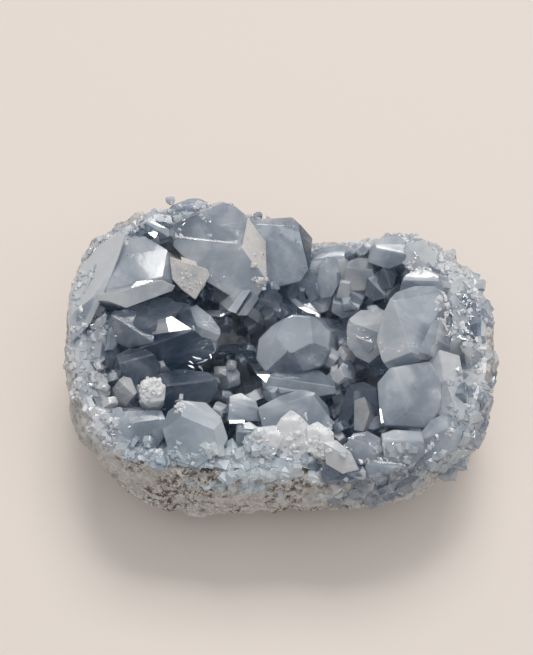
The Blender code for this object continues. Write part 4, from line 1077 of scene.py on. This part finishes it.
def grow_young(growth, tree, dice):
    """Young crystals deep in the hollow, wherever the viewer sees it between the large ones."""
    low, high = YOUNG_BOX
    for i in range(YOUNG_CRYSTALS):
        across, up = dice.uniform(low[0], high[0]), dice.uniform(low[1], high[1])
        spot, normal = seen_spot(tree, across, up)
        if spot is None or spot.z > YOUNG_BELOW * MM:
            continue
        foot = spot / MM - (normal + Vector((0, -0.3, 1.2))).normalized() * LINING
        aim = foot + normal * 5 + Vector((0, -4, 14))
        extra = YOUNG_REACH * (YOUNG_BELOW - spot.z / MM) * dice.uniform(0.3, 1.0)
        faces = small_faces(foot, aim, dice.uniform(*YOUNG_SIZE), dice, extra)
        growth.add(f"young_{i}", faces, YOUNG_FINISHES[i % len(YOUNG_FINISHES)], FINE_EDGE)


def grow_sparkles(growth, tree, dice):
    """Slivers in the faces that the viewer sees, each turned in the view and tilted to mirror the window."""
    for number, (low, high, count, length) in enumerate(SPARKLES):
        for i in range(count):
            across, up = dice.uniform(low[0], high[0]), dice.uniform(low[1], high[1])
            spot, _ = seen_spot(tree, across, up)
            turn = dice.uniform(0, math.pi)
            spread = SLIVER * length * dice.uniform(*SLIVER_SHARE)
            if spot is None:
                continue
            turned = spread @ np.array([(math.cos(turn), math.sin(turn)), (-math.sin(turn), math.cos(turn))])
            outline = [tuple(corner) for corner in turned + np.array((across, up))]
            top = (across, up, spot.z / MM + SLIVER_RISE)
            bearing, slope, back = mirror_end(sight(*top))
            end = (bearing + dice.gauss(0, SLIVER_TURNS[0]), slope + dice.gauss(0, SLIVER_TURNS[1]), back)
            normals, distances = traced_faces(top, SLIVER_LEAN, outline, [end])
            distances[-1] = normals[-1] @ sight(*top) + SLIVER_DEPTH
            growth.add(f"sparkle_{number}_{i}", (normals, distances), "mirror", 0, len(outline))


def grow_sugar(growth, tree, dice, share):
    """Sugar-sized crystals: patches of them where the viewer sees the crust, and a scatter along its lip."""
    for number, (low, high, count, width, look) in enumerate(SUGAR_PATCHES):
        for i in range(int(count * share)):
            across, up = dice.uniform(low[0], high[0]), dice.uniform(low[1], high[1])
            hit = seen_spot(tree, across, up)
            growth.add_sugar(f"sugar_{number}_{i}", hit, PATCH_GAPS, (width, SUGAR_SPREAD), look, dice)
    for i in range(int(RIM_SUGAR * share)):
        bearing = np.array(dice.uniform(0, math.tau))
        place = Vector(rim_top(bearing, dice.uniform(*RIM_SUGAR_SHARES), 0.0, 5.0) * MM)
        hit = tree.ray_cast(place, Vector((0, 0, -1)), 8.0 * MM)[:2]
        look = RIM_SUGAR_FINISHES[i % len(RIM_SUGAR_FINISHES)]
        growth.add_sugar(f"rim_sugar_{i}", hit, LIP_GAPS, (1, RIM_SUGAR_SIZE), look, dice)


class Nodes:
    """Short words for building a material's nodes."""

    def __init__(self, name):
        self.material = bpy.data.materials.new(name)
        self.material.use_nodes = True
        self.tree = self.material.node_tree
        self.shader = self.tree.nodes["Principled BSDF"]
        self.output = self.tree.nodes["Material Output"]
        self.place = self.tree.nodes.new("ShaderNodeTexCoord").outputs["Object"]

    def put(self, value, socket):
        """Links a socket to a socket, or sets its own value."""
        if isinstance(value, bpy.types.NodeSocket):
            self.tree.links.new(value, socket)
        else:
            socket.default_value = value

    def node(self, kind, **inputs):
        """A node with its inputs filled in by name, where an underscore stands for a space."""
        node = self.tree.nodes.new(f"ShaderNode{kind}")
        for name, value in inputs.items():
            self.put(value, node.inputs[name.replace("_", " ")])
        return node

    def mapped(self, scale=(1, 1, 1), turn=(0, 0, 0)):
        return self.node("Mapping", Scale=scale, Rotation=turn, Vector=self.place).outputs["Vector"]

    def noise(self, scale, detail=4.0, roughness=0.55, place=None, distortion=0.0):
        node = self.node("TexNoise", Scale=scale, Detail=detail, Roughness=roughness, Distortion=distortion)
        self.put(place or self.place, node.inputs["Vector"])
        return node.outputs["Fac"]

    def cracks(self, scale, place):
        node = self.node("TexVoronoi")
        node.feature = "DISTANCE_TO_EDGE"
        self.put(scale, node.inputs["Scale"])
        self.put(place, node.inputs["Vector"])
        return node.outputs["Distance"]

    def ramp(self, value, low, high, start=0.0, end=1.0):
        node = self.node("MapRange", Value=value, From_Min=low, From_Max=high, To_Min=start, To_Max=end)
        node.interpolation_type = "SMOOTHSTEP"
        return node.outputs["Result"]

    def maths(self, operation, first, second=0, clamp=False, kind="Math", output=0):
        node = self.tree.nodes.new(f"ShaderNode{kind}")
        node.operation = operation
        if clamp:
            node.use_clamp = True
        self.put(first, node.inputs[0])
        if second != 0:
            self.put(second, node.inputs[1])
        return node.outputs[output]

    def squeezed(self, attribute, share):
        """The place with most of its run along an attribute's direction taken out, which draws a pattern out:
        place - axis * share * (place . axis)."""
        given = self.node("Attribute")
        given.attribute_name = attribute
        axis = given.outputs["Vector"]
        along = self.maths("DOT_PRODUCT", self.place, axis, kind="VectorMath", output="Value")
        run = self.node("VectorMath")
        run.operation = "SCALE"
        self.put(axis, run.inputs["Vector"])
        self.put(self.maths("MULTIPLY", along, share), run.inputs["Scale"])
        return self.maths("SUBTRACT", self.place, run.outputs[0], kind="VectorMath")

    def mix(self, share, first, second):
        node = self.node("Mix")
        node.data_type = "RGBA"
        self.put(share, node.inputs["Factor"])
        for value, socket in ((first, node.inputs["A"]), (second, node.inputs["B"])):
            self.put(value if isinstance(value, bpy.types.NodeSocket) else (*value, 1.0), socket)
        return node.outputs["Result"]

    def attribute(self, name):
        """The four numbers of a colour attribute."""
        node = self.node("Attribute")
        node.attribute_name = name
        parts = self.node("SeparateColor", Color=node.outputs["Color"])
        return [*parts.outputs[:3], node.outputs["Alpha"]]

    def along_x_and_y(self):
        parts = self.node("SeparateXYZ", Vector=self.place)
        return parts.outputs["X"], parts.outputs["Y"]

    def bump(self, height, strength, distance):
        node = self.node("Bump", Strength=strength, Distance=distance, Height=height)
        self.tree.links.new(node.outputs["Normal"], self.shader.inputs["Normal"])


def celestite(colours):
    """See-through blue crystal, cloudier, darker, stained or frosted where the finish attribute says so."""
    n = Nodes("clear_celestite")
    # The finish attribute: each face's haze, frost, darkness and stain; on the faces set in the face table it
    # also carries painted light and painted shade
    haze, frost, dark, stain = n.attribute("finish")
    side = n.attribute("side_face")[0]
    broad = n.noise(45, 2, 0.45)
    fine = n.noise(520, 8, 0.7)
    streaks = n.noise(330, 4, 0.55, n.squeezed("long_axis", 0.93), 0.4)
    veils = n.noise(120, 3, 0.5, n.squeezed("long_axis", 0.60), 0.8)
    close = n.ramp(n.cracks(300, n.mapped((0.4, 1.4, 1.8), (0.9, 0.6, 0.2))), 0.0, 0.035, 0.8, 0.0)
    threads = n.ramp(n.noise(700, 3, 0.5, n.squeezed("long_axis", 0.97)), 0.60, 0.68)
    cracked = n.maths("MULTIPLY", n.maths("MAXIMUM", close, threads), n.ramp(veils, 0.50, 0.62))
    cloud = n.maths("ADD", n.ramp(broad, 0.35, 0.65, -0.16, 0.08), n.ramp(veils, 0.40, 0.72, 0.0, 0.24))
    striped = n.maths("MULTIPLY", n.ramp(streaks, 0.50, 0.68, 0.0, 0.34), n.ramp(side, 0.25, 0.70, 0.2, 1.0))
    cloud = n.maths("ADD", cloud, striped)
    cloud = n.maths("ADD", cloud, n.maths("MULTIPLY", fine, 0.08))
    cloud = n.maths("MULTIPLY", cloud, n.ramp(dark, 0.0, 1.0, 1.0, 0.5))
    cloudy = n.maths("ADD", haze, cloud, True)
    whitish = n.maths("ADD", n.maths("MULTIPLY", fine, 0.7), n.maths("MULTIPLY", frost, 0.9))
    veined = n.maths("MULTIPLY", cracked, n.ramp(broad, 0.44, 0.60))
    frosted = n.maths("MAXIMUM", n.ramp(whitish, 0.55, 1.15), n.maths("MULTIPLY", veined, 0.7), True)
    # Darkening towards the dark crystal colour: the crystal's own tone, and on some single faces painted shade
    darkened_and_shaded = n.maths("MULTIPLY", dark, n.ramp(broad, 0.3, 0.7, 0.75, 1.0))
    colour = n.mix(darkened_and_shaded, tuple(colours.clear), tuple(colours.slate))
    x, y = n.along_x_and_y()
    sideways = n.maths("ABSOLUTE", n.maths("ADD", x, 0.014))
    icy = n.maths("MULTIPLY", n.ramp(y, -0.016, -0.030), n.ramp(sideways, 0.030, 0.008))
    warm = n.maths("MULTIPLY", n.ramp(n.noise(28, 2, 0.4), 0.42, 0.60), n.ramp(dark, 0.0, 0.3, 0.35, 0.0))
    milky = n.mix(warm, tuple(colours.milky), WARM_MILK)
    milky = n.mix(icy, milky, ICY_MILK)
    colour = n.mix(cloudy, colour, milky)
    colour = n.mix(frosted, colour, tuple(colours.frost))
    stained = n.maths("MULTIPLY", stain, n.ramp(fine, 0.40, 0.62, 0.3, 0.9))
    colour = n.mix(stained, colour, tuple(colours.stain))
    n.put(colour, n.shader.inputs["Base Color"])
    see = n.maths("MULTIPLY", n.ramp(cloudy, 0.0, 1.0, 0.94, 0.35), n.ramp(frosted, 0.0, 1.0, 1.0, 0.15))
    n.put(see, n.shader.inputs["Transmission Weight"])
    gloss = n.maths("ADD", n.ramp(cloudy, 0.0, 1.0, 0.03, 0.10), n.maths("MULTIPLY", frosted, 0.30), True)
    n.put(gloss, n.shader.inputs["Roughness"])
    n.shader.inputs["IOR"].default_value = CELESTITE_IOR
    grainy = n.maths("MULTIPLY", fine, n.ramp(frost, 0.0, 1.0, 0.05, 1.6))
    relief = n.maths("ADD", n.maths("MULTIPLY", streaks, 0.3), grainy)
    n.bump(relief, 0.35, 0.0006)
    inside = n.node("VolumeAbsorption", Color=(*ABSORBED, 1.0), Density=ABSORPTION)
    n.tree.links.new(inside.outputs["Volume"], n.output.inputs["Volume"])
    return n.material


def rock(colours):
    """Pale weathered rock: blue-grey blotches, beige patches, white grains, brown grit on the front, and painted
    light that makes the front a little paler.
    """
    n = Nodes("weathered_rock")
    inner = n.attribute("hollow")[0]
    x, y = n.along_x_and_y()
    upright = n.mapped((1.0, 1.0, 0.72))
    broad = n.noise(70, 5, 0.6)
    blotch = n.noise(460, 8, 0.72, upright)
    fine = n.noise(900, 8, 0.78, upright)
    grit = n.noise(780, 6, 0.75, upright)
    patch = n.noise(420, 6, 0.7, upright)
    towards_front = n.ramp(y, -0.010, -0.030)
    from_middle = n.maths("ABSOLUTE", n.maths("ADD", x, 0.006))
    gritty = n.maths("MULTIPLY", towards_front, n.ramp(from_middle, 0.044, 0.022))
    colour = n.mix(n.ramp(broad, 0.40, 0.62), tuple(colours.rock), GREY_ROCK)
    colour = n.mix(n.ramp(blotch, 0.50, 0.62, 0.0, 0.85), colour, BLUE_BLOTCH)
    colour = n.mix(n.ramp(patch, 0.46, 0.56, 0.0, 0.9), colour, PALE_PATCH)
    stains = n.ramp(n.noise(240, 7, 0.75, upright), 0.46, 0.58)
    colour = n.mix(n.maths("MULTIPLY", stains, n.ramp(gritty, 0, 1, 0.2, 0.75)), colour, BEIGE_ROCK)
    colour = n.mix(n.ramp(fine, 0.48, 0.55, 0.0, 0.9), colour, WHITE_GRAIN)
    clusters = n.ramp(n.noise(110, 5, 0.6, upright), 0.40, 0.54)
    amount = n.maths("MULTIPLY", clusters, n.ramp(gritty, 0, 1, 0.35, 1.0))
    colour = n.mix(n.maths("MULTIPLY", n.ramp(grit, 0.50, 0.54), amount), colour, BROWN_GRIT)
    # Painted light: up to 7% of near-white towards the front, which makes the front rock look lit
    colour = n.mix(n.ramp(towards_front, 0, 1, 0.0, 0.07), colour, FRONT_PAINTED_LIGHT)
    colour = n.mix(inner, colour, HOLLOW_WALL)
    n.put(colour, n.shader.inputs["Base Color"])
    n.put(n.ramp(fine, 0.3, 0.7, 0.95, 0.50), n.shader.inputs["Roughness"])
    relief = n.maths("ADD", fine, n.maths("MULTIPLY", n.noise(2200, 4, 0.6), 0.5))
    n.bump(relief, 0.9, 0.0014)
    return n.material


class GEODE_OT_camera(bpy.types.Operator):
    """Places the camera at the photograph's viewing angle"""

    bl_idname = "geode.camera"
    bl_label = "Camera"

    def execute(self, context):
        data = bpy.data.cameras.new("camera")
        data.sensor_width = 36.0
        data.lens = FOCAL_PIXELS / FRAME_HEIGHT_PIXELS * data.sensor_width
        data.clip_start = 0.01
        camera = new_object("camera", data)
        place = EYE + VIEW_RIGHT * FRAMING[0] + VIEW_UP * FRAMING[1]
        turned = Matrix((VIEW_RIGHT, VIEW_UP, TO_VIEWER)).transposed().to_4x4()
        camera.matrix_world = Matrix.Translation(Vector(place) * MM) @ turned
        context.scene.camera = camera
        return {"FINISHED"}


class GEODE_OT_rind(bpy.types.Operator):
    """Builds the rock rind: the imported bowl's surface with lumps, pits and grains"""

    bl_idname = "geode.rind"
    bl_label = "Rind"

    def execute(self, context):
        sizes = context.scene.geode_sizes
        columns = sizes.rind_columns
        rings = rind_rings(columns, sizes.roughness_of_rock)
        mesh = grid_mesh("rind_stone", rings, (0, 0, 0), (0, 0, FLOOR_HEIGHT))
        hollow = np.zeros(len(rings))
        hollow[-ROWS_DOWN:] = np.clip(np.arange(ROWS_DOWN) / 8 - 0.5, 0, 1)
        colour = np.zeros((len(mesh.vertices), 4), dtype=np.float32)
        colour[: len(rings) * columns, 0] = np.repeat(hollow, columns)
        colour[-1, 0] = 1.0
        mesh.attributes.new("hollow", "FLOAT_COLOR", "POINT").data.foreach_set("color", colour.ravel())
        mesh.polygons.foreach_set("use_smooth", np.ones(len(mesh.polygons), dtype=bool))
        piece = new_object("rind_stone", mesh)
        mesh.materials.append(rock(context.scene.geode_colours))
        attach(piece, "root")
        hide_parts("rind")
        return {"FINISHED"}


class GEODE_OT_crystals(bpy.types.Operator):
    """Grows the crystal crust: a lining, large and small crystals with growth steps, and sugar-sized ones"""

    bl_idname = "geode.crystals"
    bl_label = "Crystals"

    def execute(self, context):
        sizes = context.scene.geode_sizes
        step_dice = random.Random(STEP_SEED)
        growth = Growth(FINISH_SEED)
        grow_wall(growth, random.Random(SEED))
        grow_large(growth, step_dice, sizes.growth_step)
        room = new_object("room", room_mesh())
        crust = growth.join_to(lining_mesh(), room)
        tree = surface_tree(crust)
        grow_young(growth, tree, step_dice)
        grow_sparkles(growth, tree, step_dice)
        crust = growth.join_to(crust, room)
        bpy.data.objects.remove(room)
        grow_sugar(growth, surface_tree(crust), random.Random(SUGAR_SEED), sizes.sugar_share)
        crust = growth.join_to(crust)
        growth.finish(crust, "crystals", "lining", 24)
        crust.materials.append(celestite(context.scene.geode_colours))
        piece = new_object("crystals", crust)
        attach(piece, "root")
        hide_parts("crystal_crust")
        return {"FINISHED"}


class GEODE_OT_rim_grains(bpy.types.Operator):
    """Grows small crystals on the rind's rim and just over its outer edge"""

    bl_idname = "geode.rim_grains"
    bl_label = "Rim grains"

    def execute(self, context):
        dice = random.Random(GRAIN_SEED)
        growth = Growth(GRAIN_FINISH_SEED)
        tree = surface_tree(bpy.data.objects["rind_stone"].data)
        for number, (between, shares, count, width, look) in enumerate(RIM_GRAINS):
            for i in range(count):
                bearing = np.array(math.radians(dice.uniform(*between)))
                share = dice.uniform(*shares)
                if share >= 0:
                    place, ray = rim_top(bearing, share, 0.0, 6.0), (0, 0, -1)
                else:
                    place = outer_wall(bearing, rim_height(bearing) + share * 10, 6.0)
                    ray = (-math.cos(bearing), -math.sin(bearing), 0)
                hit = tree.ray_cast(Vector(place * MM), Vector(ray))[:2]
                growth.add_sugar(f"grain_{number}_{i}", hit, GRAIN_GAPS, (width, SUGAR_SPREAD), look, dice)
        first = growth.crystals.objects[0]
        base = first.data
        growth.crystals.objects.unlink(first)
        mesh = growth.join_to(base)
        bpy.data.objects.remove(first)
        growth.finish(mesh, "rim_grains", "milky")
        mesh.materials.append(bpy.data.materials["clear_celestite"])
        piece = new_object("rim_grains", mesh)
        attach(piece, "root")
        return {"FINISHED"}


class GEODE_OT_stage(bpy.types.Operator):
    """Adds the pale floor and the soft studio light"""

    bl_idname = "geode.stage"
    bl_label = "Stage"

    def execute(self, context):
        floor = bpy.data.meshes.new("floor")
        corners = [(x * FLOOR_HALF, y * FLOOR_HALF, 0) for x, y in ((-1, -1), (1, -1), (1, 1), (-1, 1))]
        floor.from_pydata(corners, [], [(0, 1, 2, 3)])
        piece = new_object("floor", floor)
        n = Nodes("floor_paper")
        n.shader.inputs["Base Color"].default_value = (*context.scene.geode_colours.floor, 1.0)
        n.shader.inputs["Roughness"].default_value = 0.7
        floor.materials.append(n.material)
        for name, place, size, power, colour in LAMPS:
            lamp = bpy.data.lights.new(name, "AREA")
            lamp.shape = "RECTANGLE"
            lamp.size, lamp.size_y = size
            lamp.energy = power
            lamp.color = colour
            holder = new_object(name, lamp)
            holder.location = place
            holder.rotation_euler = (Vector(place) - Vector(LAMPS_FACE)).to_track_quat("Z", "Y").to_euler()
        world = bpy.data.worlds.new("room_light")
        world.use_nodes = True
        colour, strength = ROOM_LIGHT
        world.node_tree.nodes["Background"].inputs["Color"].default_value = colour
        world.node_tree.nodes["Background"].inputs["Strength"].default_value = strength
        context.scene.world = world
        context.scene.view_settings.view_transform = "Standard"
        return {"FINISHED"}


class GEODE_PT_panel(bpy.types.Panel):
    """Lists the geode's sizes, colours and pieces"""

    bl_label = "Celestite Geode"
    bl_idname = "GEODE_PT_panel"
    bl_space_type = "VIEW_3D"
    bl_region_type = "UI"
    bl_category = "Geode"

    def draw(self, context):
        for group in (context.scene.geode_sizes, context.scene.geode_colours):
            for name in group.__annotations__:
                self.layout.prop(group, name)
        for operator in OPERATORS:
            self.layout.operator(operator.bl_idname)


OPERATORS = (GEODE_OT_camera, GEODE_OT_rind, GEODE_OT_crystals, GEODE_OT_rim_grains, GEODE_OT_stage)
CLASSES = (GeodeSizes, GeodeColours, *OPERATORS, GEODE_PT_panel)


def register():
    for cls in CLASSES:
        bpy.utils.register_class(cls)
    bpy.types.Scene.geode_sizes = bpy.props.PointerProperty(type=GeodeSizes)
    bpy.types.Scene.geode_colours = bpy.props.PointerProperty(type=GeodeColours)


def unregister():
    del bpy.types.Scene.geode_colours
    del bpy.types.Scene.geode_sizes
    for cls in reversed(CLASSES):
        bpy.utils.unregister_class(cls)


def main():
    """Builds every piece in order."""
    register()
    bpy.ops.geode.camera()
    bpy.ops.geode.rind()
    bpy.ops.geode.crystals()
    bpy.ops.geode.rim_grains()
    bpy.ops.geode.stage()
    bpy.context.view_layer.update()


if __name__ == "__main__":
    main()
